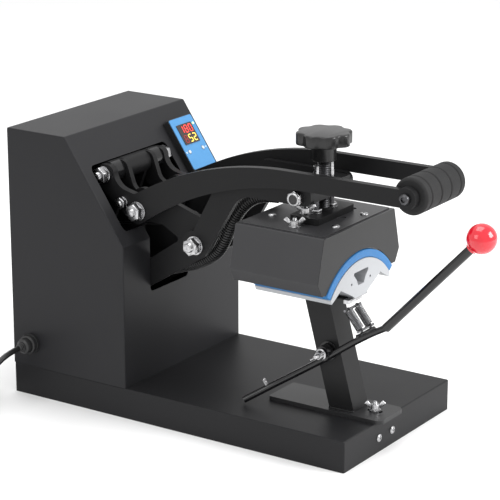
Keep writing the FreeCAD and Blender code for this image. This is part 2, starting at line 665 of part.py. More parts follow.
padded("heater_block", "XZ_Plane", [arch_band(size("arch_radius") - 0.8, 103, 50)],
       "Sizes.casing_length - 2 * Sizes.sheet_metal - 1",
       "-Sizes.casing_front - Sizes.casing_length + Sizes.sheet_metal + 0.5")

top_slots = [upright_box((CENTRE + x, y), 7, 3.5, 3.4) for x, y in ((4, -178), (44, -168))]
top_edge = rounded(mirrored_corners([(75, -202, 3), (75, -88, 3)]))
padded("head_top_plate", "XY_Plane", [top_edge] + top_slots + plate_holes, "Sizes.top_sheet",
       "Sizes.casing_top")
plate_top = size("casing_top") + size("top_sheet")
group("top_plate_screws", [pan_screw((x, y, plate_top), (0, 0, 1), 9) for x, y in PLATE_SCREWS])
YOKE_TOP = size("yoke_top")
YOKE_STUD = (CENTRE - 28, -148)
yoke = padded("head_yoke", "XY_Plane", [
    rounded(mirrored_corners([(42, -173, 4), (42, -134, 4)])),
    circle(CENTRE, size("screw_y"), COLLAR_RADIUS + gap),
    circle(*YOKE_STUD, size("stud_radius") + gap)],
    "Sizes.yoke_top - Sizes.casing_top - Sizes.top_sheet", "Sizes.casing_top + Sizes.top_sheet")
feature(yoke, "Pad", sketch(yoke, "XY_Plane", [
    circle(CENTRE, size("screw_y"), 10.2), circle(CENTRE, size("screw_y"), size("screw_radius") + gap)],
    "Sizes.yoke_top"), "4")
group("guide_rods", [cylinder(str(GUIDE_RADIUS), "338 - Sizes.yoke_top",
                              place_at((CENTRE + x, size("screw_y"), YOKE_TOP)))
                     for x in (-GUIDE_OFFSET, GUIDE_OFFSET)])
group("levelling_nuts", [
    cylinder("Sizes.stud_radius", "24", place_at((*CASING_STUD, size("casing_top") - 4))),
    wing_nut(place_at((*CASING_STUD, plate_top))),
    cylinder("Sizes.stud_radius", "21", place_at((*YOKE_STUD, plate_top))),
    wing_nut(place_at((*YOKE_STUD, YOKE_TOP)))]
    + [nut("11", str(GUIDE_RADIUS), "5", place_at((CENTRE + x, size("screw_y"), YOKE_TOP)))
       for x in (-GUIDE_OFFSET, GUIDE_OFFSET)])

# ---------------------------------------------------------------- lower saddle, pad and post

SADDLE_HALF = 67
saddle_radius = size("saddle_radius")
saddle_edge = size("arch_z") + math.sqrt(saddle_radius ** 2 - SADDLE_HALF ** 2)
end_angle = math.asin(SADDLE_HALF / saddle_radius)
crown = Part.ArcOfCircle(Part.Circle(Vector(CENTRE, size("arch_z"), 0), Vector(0, 0, 1), saddle_radius),
                         math.pi / 2 - end_angle, math.pi / 2 + end_angle)
under = [(SADDLE_HALF, saddle_edge), (65, 190.5), (45, 202), (18, 188), (13, 184)]
corners = [Vector(CENTRE + x, z, 0) for x, z in under]
corners += [Vector(CENTRE - x, z, 0) for x, z in reversed(under)]
saddle_outline = [crown] + [Part.LineSegment(a, b) for a, b in zip(corners, corners[1:])]
saddle_window = rounded(mirrored_corners([(6.5, 198.5, 1.5), (10, 206, 5), (19, 215.5, 2)]))
rivets = [circle(CENTRE + x, 203, 1.6) for x in (-21, 21)]
padded("saddle", "XZ_Plane", [saddle_outline, saddle_window] + rivets,
       "Sizes.saddle_length", "-Sizes.saddle_front - Sizes.saddle_length")
padded("silicone_pad", "XZ_Plane", [arch_band(size("pad_inner"), size("pad_outer"), 52.2)],
       "Sizes.pad_length", "-Sizes.saddle_front - Sizes.pad_length - 0.5")

POST_FRONT, POST_BACK, POST_LEAN = -212, -177.5, 38
POST_BOTTOM = BASE_TOP + size("foot_sheet")
POST_TOP = 184
WALL = 2.5
post = new_body("post")
post_outline = rounded([(POST_FRONT, POST_BOTTOM, 0), (POST_BACK, POST_BOTTOM, 0),
                        (POST_BACK + POST_LEAN, POST_TOP, 0), (POST_FRONT + POST_LEAN, POST_TOP, 0)])
feature(post, "Pad", sketch(post, "YZ_Plane", [post_outline], "Sizes.post_x - Sizes.post_width / 2"),
        "Sizes.post_width")
inner_outline = rounded([(POST_FRONT + WALL, POST_BOTTOM - 1, 0), (POST_BACK - WALL, POST_BOTTOM - 1, 0),
                         (POST_BACK - WALL + POST_LEAN, POST_TOP + 1, 0),
                         (POST_FRONT + WALL + POST_LEAN, POST_TOP + 1, 0)])
feature(post, "Pocket", sketch(post, "YZ_Plane", [inner_outline],
                               "Sizes.post_x - Sizes.post_width / 2 + %s" % WALL),
        "Sizes.post_width - 2 * %s" % WALL, True)

LEVER = (size("lever_y"), size("lever_z"))
feature(post, "Pocket", sketch(post, "YZ_Plane", [circle(*LEVER, size("stud_radius"))],
                               "Sizes.post_x - Sizes.post_width / 2"), "4", True)

CLAMP_Y = -230
foot_edge = rounded(mirrored_corners([(size("foot_half"), -254, 9), (size("foot_half"), -97, 3)]))
foot_slot = rounded([(CENTRE - 4, CLAMP_Y - 10, 3.9), (CENTRE + 4, CLAMP_Y - 10, 3.9),
                     (CENTRE + 4, CLAMP_Y + 10, 3.9), (CENTRE - 4, CLAMP_Y + 10, 3.9)])
padded("post_foot", "XY_Plane", [foot_edge, foot_slot], "Sizes.foot_sheet", "Sizes.base_height")

LEVER_X = CENTRE - 28
post_left = size("post_x") - size("post_width") / 2
group("clamp_studs", [
    cylinder("Sizes.stud_radius", "20", place_at((CENTRE, CLAMP_Y, BASE_TOP))),
    cylinder("Sizes.stud_radius", "34", place_at((post_left - 33, *LEVER), "X")),
    ring("12", "Sizes.stud_radius", "2", place_at((post_left - 2.3, *LEVER), "X"))])
group("clamp_wing_nuts", [
    wing_nut(place_at((CENTRE, CLAMP_Y, POST_BOTTOM))),
    wing_nut(Placement(Vector(post_left - 17, *LEVER), Rotation(Vector(0, 1, 0), -90)
                       .multiply(Rotation(Vector(0, 0, 1), 35))))])

# ---------------------------------------------------------------- ball lever and springs

rod_route = [(LEVER_X - 28.5, -80.5, 44.2), (LEVER_X - 12, -106, 61), (LEVER_X - 3, -140, 83),
             (LEVER_X, -177, 107.5), (LEVER_X, -218, 137), (LEVER_X, -243, 153), (LEVER_X, -262, 163.5)]
TUBE_START = (LEVER_X, -259, 161.5)
BALL = (LEVER_X, -379, 289)
rod = swept("lever_rod", rod_route, size("rod_radius"))
eye = Part.makeCylinder(9, 11, Vector(LEVER_X - 5.5, *LEVER), Vector(1, 0, 0))
eye_bore = Part.makeCylinder(3.05, 11, Vector(LEVER_X - 5.5, *LEVER), Vector(1, 0, 0))
spring_pin = Part.makeCylinder(3, 36, Vector(LEVER_X, -222, 143.5), Vector(1, 0, 0))
pin_web = Part.makeCylinder(3, 9, Vector(LEVER_X, -222, 136.5), Vector(0, 0, 1))
shaped("lever_rod", rod.fuse([eye, spring_pin, pin_web]).cut(eye_bore))
tube_axis = Vector(*BALL) - Vector(*TUBE_START)
tube_place = Placement(Vector(*TUBE_START), Rotation(Vector(0, 0, 1), tube_axis))
keep("lever_tube", cylinder("Sizes.tube_radius", str(tube_axis.Length - 15), tube_place))
ball = doc.addObject("Part::Sphere", "ball")
ball.setExpression("Radius", "Sizes.ball_radius")
ball.Placement = place_at(BALL)
seat = cylinder("Sizes.tube_radius", "30", tube_place.multiply(
    Placement(Vector(0, 0, tube_axis.Length - 45), Rotation())))
keep("lever_ball", cut(ball, seat))
screw_lean = Rotation(Vector(0, 0, 1), Vector(-0.35, 0.35, 1))
keep("lever_tip_screw", cylinder("2.6", "13", Placement(Vector(LEVER_X - 12, -104, 60), screw_lean)))

SPRING_TOP = (-203, 171.5)
SPRING_LOW = (-221, 149)
springs = []
for x in (CENTRE - 20, CENTRE):
    axis = Vector(0, SPRING_LOW[0] - SPRING_TOP[0], SPRING_LOW[1] - SPRING_TOP[1])
    springs.append(cylinder("Sizes.spring_radius", str(axis.Length),
                            Placement(Vector(x, *SPRING_TOP), Rotation(Vector(0, 0, 1), axis))))
group("return_springs", springs)
keep("spring_anchor", block(("30", "7", "4.5"), place_at((CENTRE - 25, -206.5, 179.5))))

# ---------------------------------------------------------------- control panel on the slope

slope_angle = math.degrees(math.atan2(size("tower_height") - size("slope_foot"), TOWER_FOLD - TOWER_FRONT))
SLOPE = Placement(Vector(0, TOWER_FRONT, size("slope_foot")), Rotation(Vector(1, 0, 0), slope_angle))
PANEL = (60, 110, 57, 130)


def panel_outline(inset, corner):
    """The panel's rectangle on the slope, moved in by an inset."""
    left, right, low, high = PANEL
    return rounded([(left + inset, low + inset, corner), (right - inset, low + inset, corner),
                    (right - inset, high - inset, corner), (left + inset, high - inset, corner)])


BUTTONS = {"left": (70, 82), "right": (99, 82)}
wells = [circle(*spot, size("button_radius") + size("button_clearance")) for spot in BUTTONS.values()]
control = padded("control_box", "XY_Plane", [panel_outline(0, 3)], "Sizes.panel_height", "0", SLOPE)
feature(control, "Pocket", sketch(control, "XY_Plane", wells, "Sizes.panel_height - 6"), "6", True)
padded("control_faceplate", "XY_Plane", [panel_outline(1, 2.5)] + wells, "0.8", "Sizes.panel_height", SLOPE)
lens = rounded([(69, 91.5, 1), (100.5, 91.5, 1), (100.5, 119.5, 1), (69, 119.5, 1)])
padded("display_window", "XY_Plane", [lens], "0.8", "Sizes.panel_height + 0.8", SLOPE)
padded("status_led", "XY_Plane", [circle(104, 116.5, 1.5)], "1.2", "Sizes.panel_height + 0.8", SLOPE)
for name, spot in BUTTONS.items():
    padded("button_" + name, "XY_Plane", [circle(*spot, size("button_radius"))], "6.5",
           "Sizes.panel_height - 4.5", SLOPE)
module = rounded([(64, 62, 1), (106, 62, 1), (106, 125, 1), (64, 125, 1)])
padded("controller_module", "XY_Plane", [module], "14", "-Sizes.sheet_metal - 14.2", SLOPE)

# ---------------------------------------------------------------- conduit to the heater

CONDUIT_X = CENTRE - 21
conduit_route = [(CONDUIT_X, 92, 169), (CONDUIT_X, 62, 176), (CONDUIT_X, 33, 186), (CONDUIT_X, 7, 194),
                 (CONDUIT_X, -17, 209), (CONDUIT_X - 1, -31, 232), (CONDUIT_X, -40, 256),
                 (CONDUIT_X + 6, -57, 277), (CONDUIT_X + 12, -80, 286), (CONDUIT_X + 14, -98, 286)]
shaped("conduit", swept("conduit", conduit_route, size("conduit_radius")))

# ---------------------------------------------------------------- mains lead, coil and plug

GLAND_END = GLAND[0] - 27
revolved("cord_gland", [(3.6, -8, 0), (8, -8, 0), (8, 0, 0), (12.5, 0, 1), (12.5, 9, 1), (10, 10, 0),
                        (9.5, 17, 3), (5, 27, 1), (3.6, 27, 0)],
         Placement(Vector(*GLAND), Rotation(Vector(0, 1, 0), -90)))
cord_radius = size("cord_radius")
COIL = (-195, 280)
COIL_RADIUS = 36
turn_x = COIL[0] - COIL_RADIUS
cord_route = [(GLAND_END, 216, 70), (-172, 216.5, 69), (-193, 220, 58), (-209, 227, 40),
              (-221, 238, 20), (-228, 254, 8.5), (turn_x, 268, 4.1), (turn_x, COIL[1], 4.1)]
shaped("cord_lead", swept("cord_lead", cord_route, cord_radius))
coil_place = place_at((*COIL, 0.1))
coil_body = ring("%s" % (COIL_RADIUS + 2 * cord_radius), "%s" % (COIL_RADIUS - 2 * cord_radius),
                 "%s" % (6 * cord_radius), coil_place)
keep("cord_coil", coil_body)
plug = new_body("cord_plug", place_at((COIL[0] + 30.6, COIL[1] + COIL_RADIUS + 3.5, 12), "X"))
feature(plug, "Pad", sketch(plug, "XY_Plane", [rounded([(-11.8, -9, 5), (11.8, -9, 5), (11.8, 9, 5),
                                                        (-11.8, 9, 5)])]), "34")
feature(plug, "Pad", sketch(plug, "XY_Plane", [circle(0, -6, 2.4)], "34"), "19")
feature(plug, "Pad", sketch(plug, "XY_Plane", [circle(0, 6, 2.4)], "34"), "19")

# ---------------------------------------------------------------- check and write

doc.recompute()
for item in doc.Objects:
    if "Invalid" in item.State or "Error" in item.State:
        raise RuntimeError("%s (%s) failed: %s" % (item.Name, item.Label, item.State))
for name, item in parts.items():
    shape = item.Shape
    if shape.isNull() or not shape.isValid():
        raise RuntimeError("%s has no valid shape" % name)
if len(parts) > 60:
    raise RuntimeError("too many sub-parts: %d" % len(parts))
for name, item in parts.items():
    item.Shape.exportStep("parts/%s.step" % name)
print(len(parts), "sub-parts written")
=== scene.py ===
import json
import logging
import math
import random
from collections.abc import Callable, Iterable, Sequence
from dataclasses import dataclass, field, replace
from enum import Enum

import bmesh
import bpy
from mathutils import Matrix, Vector


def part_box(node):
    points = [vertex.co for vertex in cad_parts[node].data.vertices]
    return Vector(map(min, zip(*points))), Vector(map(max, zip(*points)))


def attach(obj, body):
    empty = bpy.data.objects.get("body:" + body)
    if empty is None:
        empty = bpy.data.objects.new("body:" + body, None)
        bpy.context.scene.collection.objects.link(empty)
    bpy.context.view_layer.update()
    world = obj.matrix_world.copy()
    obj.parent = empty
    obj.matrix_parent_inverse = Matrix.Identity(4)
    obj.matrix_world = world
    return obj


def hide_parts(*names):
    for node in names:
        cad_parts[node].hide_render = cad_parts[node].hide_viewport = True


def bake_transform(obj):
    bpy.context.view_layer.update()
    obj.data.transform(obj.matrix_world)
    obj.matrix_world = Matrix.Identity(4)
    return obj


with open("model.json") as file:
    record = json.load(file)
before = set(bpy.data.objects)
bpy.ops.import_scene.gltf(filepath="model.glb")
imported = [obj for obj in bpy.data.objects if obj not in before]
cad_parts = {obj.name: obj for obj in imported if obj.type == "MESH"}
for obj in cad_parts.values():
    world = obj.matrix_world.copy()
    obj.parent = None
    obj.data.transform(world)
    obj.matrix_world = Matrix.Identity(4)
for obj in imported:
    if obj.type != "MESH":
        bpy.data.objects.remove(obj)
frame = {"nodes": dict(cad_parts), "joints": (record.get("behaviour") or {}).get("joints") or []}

LOG = logging.getLogger("cap_press")
MM = 0.001


# ------------------------------------------------------------------ shader sockets


class Socket:
    """A node socket that does arithmetic by adding Math nodes."""

    def __init__(self, tree: bpy.types.NodeTree, socket: bpy.types.NodeSocket) -> None:
        """Wraps one output socket of a node tree."""
        self.tree = tree
        self.socket = socket

    def _math(self, operation: str, *values: "Socket | float") -> "Socket":
        """Adds one Math node.

        Args:
            operation: The Math node's operation.
            values: Its inputs, as sockets or numbers.

        Returns:
            The node's result.
        """
        node = self.tree.nodes.new("ShaderNodeMath")
        node.operation = operation
        for place, value in zip(node.inputs, values):
            if isinstance(value, Socket):
                self.tree.links.new(value.socket, place)
            else:
                place.default_value = value
        return Socket(self.tree, node.outputs[0])

    def __add__(self, other: "Socket | float") -> "Socket":
        """Sum."""
        return self._math("ADD", self, other)

    __radd__ = __add__

    def __sub__(self, other: "Socket | float") -> "Socket":
        """Difference."""
        return self._math("SUBTRACT", self, other)

    def __rsub__(self, other: float) -> "Socket":
        """Difference from a number."""
        return self._math("SUBTRACT", other, self)

    def __mul__(self, other: "Socket | float") -> "Socket":
        """Product."""
        return self._math("MULTIPLY", self, other)

    __rmul__ = __mul__

    def clamp(self) -> "Socket":
        """The value held between 0 and 1."""
        return self._math("MINIMUM", self._math("MAXIMUM", self, 0.0), 1.0)

    def above(self, level: float, soft: float = 0.05) -> "Socket":
        """A soft step that is 1 where the value is above a level."""
        return ((self - (level - soft)) * (0.5 / soft)).clamp()


class Paint:
    """One node material with a Principled shader, and the nodes that vary over its surface."""

    def __init__(self, name: str) -> None:
        """Starts an empty material.

        Args:
            name: The material's name.
        """
        self.material = bpy.data.materials.new(name)
        self.material.use_nodes = True
        self.tree = self.material.node_tree
        self.shader = self.tree.nodes["Principled BSDF"]
        self.place = self.node("ShaderNodeTexCoord", {}, {}, "Object")

    def node(self, kind: str, settings: dict[str, object], values: dict[str, object],
             output: str | int = 0) -> Socket:
        """Adds any other node.

        Args:
            kind: The node's type.
            settings: Its own settings, set first. "stops" is a ramp's list of (place, colour).
            values: Values or links of its input sockets, by name or number.
            output: The output to return, by name or number.

        Returns:
            The chosen output.
        """
        node = self.tree.nodes.new(kind)
        for key, value in settings.items():
            if key != "stops":
                setattr(node, key, value)
                continue
            ramp = node.color_ramp
            while len(ramp.elements) < len(value):
                ramp.elements.new(0.5)
            for element, (position, colour) in zip(ramp.elements, value):
                element.position = position
                element.color = (*colour, 1.0)
        for key, value in values.items():
            if isinstance(value, Socket):
                self.tree.links.new(value.socket, node.inputs[key])
            else:
                node.inputs[key].default_value = value
        return Socket(self.tree, node.outputs[output])

    def noise(self, scale: float, detail: float = 3.0, stretch: Sequence[float] = (1, 1, 1)) -> Socket:
        """Noise over the object's own coordinates.

        Args:
            scale: Cycles a metre.
            detail: Octaves.
            stretch: Scale along X, Y and Z.

        Returns:
            The noise, from 0 to 1.
        """
        spot = self.node("ShaderNodeMapping", {}, {"Vector": self.place, "Scale": tuple(stretch)})
        return self.node("ShaderNodeTexNoise", {}, {"Vector": spot, "Scale": scale, "Detail": detail}, "Fac")

    def axis(self, name: str) -> Socket:
        """One of the object's own coordinates, X, Y or Z, in metres."""
        return self.node("ShaderNodeSeparateXYZ", {}, {0: self.place}, name)

    def blend(self, amount: Socket | float, first: object, second: object) -> Socket:
        """Mixes two colours.

        Args:
            amount: 0 for the first, 1 for the second.
            first: A colour as a tuple, or a socket.
            second: A colour as a tuple, or a socket.

        Returns:
            The mixed colour.
        """
        mix = self.tree.nodes.new("ShaderNodeMix")
        mix.data_type = "RGBA"
        for place, value in ((mix.inputs[0], amount), (mix.inputs[6], first), (mix.inputs[7], second)):
            if isinstance(value, Socket):
                self.tree.links.new(value.socket, place)
            else:
                place.default_value = (*value, 1.0) if isinstance(value, tuple) else value
        return Socket(self.tree, mix.outputs[2])

    def edge(self, radius: float, wide: float = 0.35) -> Socket:
        """How near a sharp edge a point is, for paint that thins there.

        Args:
            radius: Distance from the edge, in metres.
            wide: How soon the mask starts.

        Returns:
            0 on flat faces, 1 at edges.
        """
        bevel = self.node("ShaderNodeBevel", {"samples": 4}, {"Radius": radius})
        flat = self.node("ShaderNodeNewGeometry", {}, {}, "Normal")
        turn = self.node("ShaderNodeVectorMath", {"operation": "DOT_PRODUCT"}, {0: bevel, 1: flat}, "Value")
        return ((1 - turn) * (1 / wide)).clamp()

    def bump(self, height: Socket, depth: float, strength: float = 1.0) -> None:
        """Feeds a height into the shader's Normal.

        Args:
            height: The height, from 0 to 1.
            depth: The height of 1, in metres.
            strength: How much of it shows.
        """
        raised = self.node("ShaderNodeBump", {}, {"Height": height, "Distance": depth, "Strength": strength})
        self.feed("Normal", raised)

    def feed(self, name: str, value: object) -> None:
        """Sets or links one of the shader's sockets.

        Args:
            name: The socket's name.
            value: A socket, a number or a colour.
        """
        if isinstance(value, Socket):
            self.tree.links.new(value.socket, self.shader.inputs[name])
        elif isinstance(value, tuple):
            self.shader.inputs[name].default_value = (*value, 1.0)
        else:
            self.shader.inputs[name].default_value = value


# ------------------------------------------------------------------ finishes


@dataclass(frozen=True)
class PowderCoat:
    """Baked paint on sheet steel: a fine orange-peel skin, thinner at its bends, which are painted paler: partly
    rubbed wear, partly a painted sheen.
    """

    name: str
    colour: tuple[float, float, float]
    roughness: float = 0.42
    grain: float = 0.00005
    grain_scale: float = 2600.0
    wear_and_sheen: float = 0.25
    gloss: float = 0.2
    # The Y in front of which the paint is darkened as painted shade, and how far it is darkened.
    front: float | None = None
    painted_front_shade: float = 0.25

    def make(self) -> bpy.types.Material:
        """Builds the material."""
        paint = Paint(self.name)
        cloudy = paint.noise(9.0, 4.0)
        fine = paint.noise(self.grain_scale, 2.0)
        low = tuple(c * 0.9 for c in self.colour)
        high = tuple(c * 1.12 for c in self.colour)
        worn_and_sheen = tuple(min(1.0, c * 2.6 + 0.05) for c in self.colour)
        base = paint.blend(cloudy, low, high)
        scuffs = paint.noise(55.0, 5.0, (1.0, 0.25, 1.0)).above(0.6, 0.1)
        # Edges are painted paler: partly rubbed wear, partly a painted sheen standing in for light on the bends.
        rubbed_and_sheen = paint.edge(0.0012) * (0.35 + 0.65 * scuffs) * self.wear_and_sheen
        # Painted shade: faces in front of the given Y are darkened, standing in for the shade on the casing's
        # front face.
        if self.front is not None:
            unshaded_rear = paint.axis("Y").above(self.front, 0.0003)
            base = paint.blend(unshaded_rear, tuple(c * self.painted_front_shade for c in self.colour), base)
        paint.feed("Base Color", paint.blend(rubbed_and_sheen, base, worn_and_sheen))
        paint.feed("Roughness", self.roughness + 0.1 * (cloudy - 0.5) + 0.06 * (fine - 0.5))
        paint.feed("Specular IOR Level", self.gloss)
        paint.bump(fine + 0.25 * paint.noise(420.0, 2.0), self.grain)
        return paint.material


@dataclass(frozen=True)
class PlatedSteel:
    """Zinc or nickel plate on a fastener: mottled shine with fine turning marks."""

    name: str
    colour: tuple[float, float, float]
    roughness: float = 0.24
    tarnish: float = 0.35

    def make(self) -> bpy.types.Material:
        """Builds the material."""
        paint = Paint(self.name)
        mottle = paint.noise(260.0, 4.0)
        dull = tuple(c * (1 - self.tarnish) for c in self.colour)
        marks = paint.noise(1800.0, 2.0, (0.08, 1.0, 1.0))
        paint.feed("Base Color", paint.blend(mottle.above(0.52, 0.2), self.colour, dull))
        paint.feed("Metallic", 1.0)
        paint.feed("Roughness", self.roughness + 0.22 * (mottle - 0.4) + 0.08 * marks)
        paint.bump(marks + mottle, 0.00003)
        return paint.material


@dataclass(frozen=True)
class MouldedPlastic:
    """Moulded plastic with a fine spark-eroded texture."""

    name: str
    colour: tuple[float, float, float]
    roughness: float = 0.4
    grain: float = 0.00006
    grain_scale: float = 1500.0
    coat: float = 0.0

    def make(self) -> bpy.types.Material:
        """Builds the material."""
        paint = Paint(self.name)
        fine = paint.noise(self.grain_scale, 3.0)
        cloudy = paint.noise(30.0, 3.0)
        low = tuple(c * 0.88 for c in self.colour)
        high = tuple(min(1.0, c * 1.12 + 0.004) for c in self.colour)
        paint.feed("Base Color", paint.blend(cloudy, low, high))
        paint.feed("Roughness", self.roughness + 0.12 * (fine - 0.5) + 0.08 * (cloudy - 0.5))
        paint.feed("Coat Weight", self.coat)
        paint.feed("Coat Roughness", 0.08)
        paint.bump(fine, self.grain)
        return paint.material


@dataclass(frozen=True)
class FoamRubber:
    """Closed-cell foam: small open cells on a soft dull skin, painted darker in the cells' hollows as painted
    shade.
    """

    name: str
    colour: tuple[float, float, float]
    cell: float = 900.0
    depth: float = 0.00016

    def make(self) -> bpy.types.Material:
        """Builds the material."""
        paint = Paint(self.name)
        cells = paint.node("ShaderNodeTexVoronoi", {}, {"Vector": paint.place, "Scale": self.cell}, "Distance")
        cloudy = paint.noise(40.0, 3.0)
        low = tuple(c * 0.7 for c in self.colour)
        high = tuple(c * 1.5 for c in self.colour)
        # Cell middles are painted darker and rims paler: painted shade in the hollows.
        paint.feed("Base Color", paint.blend(cells.clamp(), low, high))
        paint.feed("Roughness", 0.72 + 0.15 * (cloudy - 0.5))
        paint.feed("Specular IOR Level", 0.35)
        paint.bump(cells + 0.5 * paint.noise(500.0, 3.0), self.depth)
        return paint.material


@dataclass(frozen=True)
class SiliconeRubber:
    """Silicone sponge sheet: a strong colour, with painted shade in its pores, and dusty on its skin."""

    name: str
    colour: tuple[float, float, float]

    def make(self) -> bpy.types.Material:
        """Builds the material."""
        paint = Paint(self.name)
        pores = paint.node("ShaderNodeTexVoronoi", {}, {"Vector": paint.place, "Scale": 1400.0}, "Distance")
        dust = paint.noise(70.0, 5.0)
        pore_shade = tuple(c * 0.75 for c in self.colour)
        pale = tuple(min(1.0, c * 1.1 + 0.03) for c in self.colour)
        skin = paint.blend(dust, self.colour, pale)
        # The pores are painted darker: painted shade in the hollows.
        paint.feed("Base Color", paint.blend(1 - pores.above(0.22, 0.15), skin, pore_shade))
        paint.feed("Roughness", 0.5 + 0.2 * (dust - 0.5))
        paint.feed("Subsurface Weight", 0.05)
        paint.bump(pores + dust, 0.00008)
        return paint.material


@dataclass(frozen=True)
class PrintedPanel:
    """A printed membrane: one colour, paler in soft random patches, with a thin border."""

    name: str
    colour: tuple[float, float, float]
    border: tuple[float, float, float]

    def make(self) -> bpy.types.Material:
        """Builds the material."""
        paint = Paint(self.name)
        grain = paint.noise(2400.0, 2.0)
        wash = paint.noise(60.0, 2.0)
        pale = tuple(min(1.0, c * 1.18 + 0.02) for c in self.colour)
        printed = paint.blend(wash, self.colour, pale)
        paint.feed("Base Color", paint.blend(paint.edge(0.0016, 0.5), printed, self.border))
        paint.feed("Roughness", 0.3 + 0.1 * (grain - 0.5))
        paint.bump(grain, 0.00002)
        return paint.material


@dataclass(frozen=True)
class LitSegment:
    """A lit display segment, a little brighter in soft random patches."""

    name: str
    colour: tuple[float, float, float]
    strength: float = 3.0

    def make(self) -> bpy.types.Material:
        """Builds the material."""
        paint = Paint(self.name)
        glow = paint.noise(900.0, 1.0)
        dim = tuple(c * 0.7 for c in self.colour)
        paint.feed("Base Color", paint.blend(glow, dim, self.colour))
        paint.feed("Emission Color", paint.blend(glow, dim, self.colour))
        paint.feed("Emission Strength", self.strength)
        paint.feed("Roughness", 0.3)
        return paint.material


@dataclass(frozen=True)
class Board:
    """Pale studio floor with the faintest unevenness."""

    name: str
    colour: tuple[float, float, float]

    def make(self) -> bpy.types.Material:
        """Builds the material."""
        paint = Paint(self.name)
        low = tuple(c * 0.985 for c in self.colour)
        paint.feed("Base Color", paint.blend(paint.noise(1.2, 2.0), low, self.colour))
        paint.feed("Roughness", 0.9)
        return paint.material


class Finish(Enum):
    """Every finish on the press, by its job."""

    CABINET = PowderCoat("cabinet_powder_coat", (0.015, 0.015, 0.0165), 0.42)
    # A darker copy of the cabinet's charcoal paint for the base: painted shade.
    BASE_PAINTED_SHADE = PowderCoat("base_powder_coat_painted_shade", (0.011, 0.011, 0.012), 0.46)
    STRUCTURE = PowderCoat("structure_black", (0.009, 0.009, 0.0095), 0.42, gloss=0.16)
    POST = PowderCoat("post_black", (0.009, 0.009, 0.0095), 0.34)
    FOOT = PowderCoat("foot_grey", (0.020, 0.020, 0.021), 0.36, gloss=0.3)
    CASING = PowderCoat("casing_grey", (0.030, 0.030, 0.032), 0.36, wear_and_sheen=0.8, gloss=0.3)
    AXLE_BLACK = PowderCoat("axle_gloss_black", (0.006, 0.006, 0.0065), 0.2, 0.00002, gloss=0.4)
    ZINC = PlatedSteel("zinc_plate", (0.58, 0.58, 0.59), 0.2, 0.5)
    DARK_STEEL = PlatedSteel("oiled_steel", (0.10, 0.10, 0.105), 0.32)
    SPRING_STEEL = PlatedSteel("spring_steel", (0.24, 0.24, 0.25), 0.18, 0.5)
    ALUMINIUM = PlatedSteel("cast_aluminium", (0.30, 0.30, 0.31), 0.42)
    LEVER = PowderCoat("lever_gloss_black", (0.007, 0.007, 0.0075), 0.16, 0.00002, wear_and_sheen=0.15, gloss=0.5)
    ENAMEL = PowderCoat("saddle_enamel", (0.37, 0.38, 0.395), 0.34, 0.00003, wear_and_sheen=0.0, gloss=0.4)
    BLACK_PLASTIC = MouldedPlastic("black_plastic", (0.010, 0.010, 0.0105), 0.40)
    KNOB = MouldedPlastic("knob_plastic", (0.005, 0.005, 0.0052), 0.30, 0.00005, 1100.0)
    BALL = MouldedPlastic("red_ball", (0.62, 0.006, 0.02), 0.14, 0.00001, 600.0, 0.6)
    CONDUIT = MouldedPlastic("conduit_plastic", (0.006, 0.006, 0.0065), 0.36)
    CORD = MouldedPlastic("cord_jacket", (0.008, 0.008, 0.008), 0.36, 0.00003, 700.0)
    FOAM = FoamRubber("grip_foam", (0.010, 0.010, 0.0105))
    SILICONE = SiliconeRubber("blue_silicone", (0.002, 0.125, 0.34))
    PANEL = PrintedPanel("panel_print", (0.045, 0.20, 0.42), (0.015, 0.08, 0.20))
    WINDOW = MouldedPlastic("display_window", (0.020, 0.009, 0.008), 0.12, 0.00001, 600.0, 0.5)
    RED_DIGIT = LitSegment("red_digit", (1.0, 0.05, 0.04), 2.0)
    DIM_DIGIT = LitSegment("dim_digit", (0.35, 0.02, 0.02), 0.5)
    AMBER_DIGIT = LitSegment("amber_digit", (1.0, 0.72, 0.1), 2.2)
    LAMP = LitSegment("status_lamp", (0.6, 1.0, 0.4), 1.2)
    KEY_CAP = MouldedPlastic("key_cap", (0.50, 0.55, 0.58), 0.3)
    PRINT_PALE = MouldedPlastic("pale_print", (0.55, 0.66, 0.78), 0.4)
    FLOOR = Board("studio_floor", (0.9, 0.9, 0.9))


class Palette:
    """Makes each finish's material once."""

    def __init__(self) -> None:
        """Starts with nothing made."""
        self.made: dict[Finish, bpy.types.Material] = {}

    def get(self, finish: Finish) -> bpy.types.Material:
        """The material of one finish."""
        if finish not in self.made:
            self.made[finish] = finish.value.make()
        return self.made[finish]


PALETTE = Palette()


# ------------------------------------------------------------------ mesh work


def placed(spot: Sequence[float], axis: Sequence[float]) -> Matrix:
    """A transform to a point, with local Z along an axis."""
    return Matrix.Translation(Vector(spot)) @ Vector(axis).to_track_quat("Z", "Y").to_matrix().to_4x4()


def lifted(distance: float) -> Matrix:
    """A move along Z."""
    return Matrix.Translation((0, 0, distance))


def turned(axis: str, angle: float) -> Matrix:
    """A turn about an axis, in radians."""
    return Matrix.Rotation(angle, 4, axis)


def middle(node: str) -> Vector:
    """The middle of a CAD node's box."""
    low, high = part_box(node)
    return (low + high) / 2


def moved(mesh: bmesh.types.BMesh, place: Matrix) -> bmesh.types.BMesh:
    """Moves a whole mesh and returns it."""
    bmesh.ops.transform(mesh, matrix=place, verts=mesh.verts)
    return mesh


def tidied(mesh: bmesh.types.BMesh) -> bmesh.types.BMesh:
    """Merges doubles and turns every face outwards."""
    bmesh.ops.remove_doubles(mesh, verts=mesh.verts, dist=1e-7)
    bmesh.ops.recalc_face_normals(mesh, faces=mesh.faces)
    return mesh


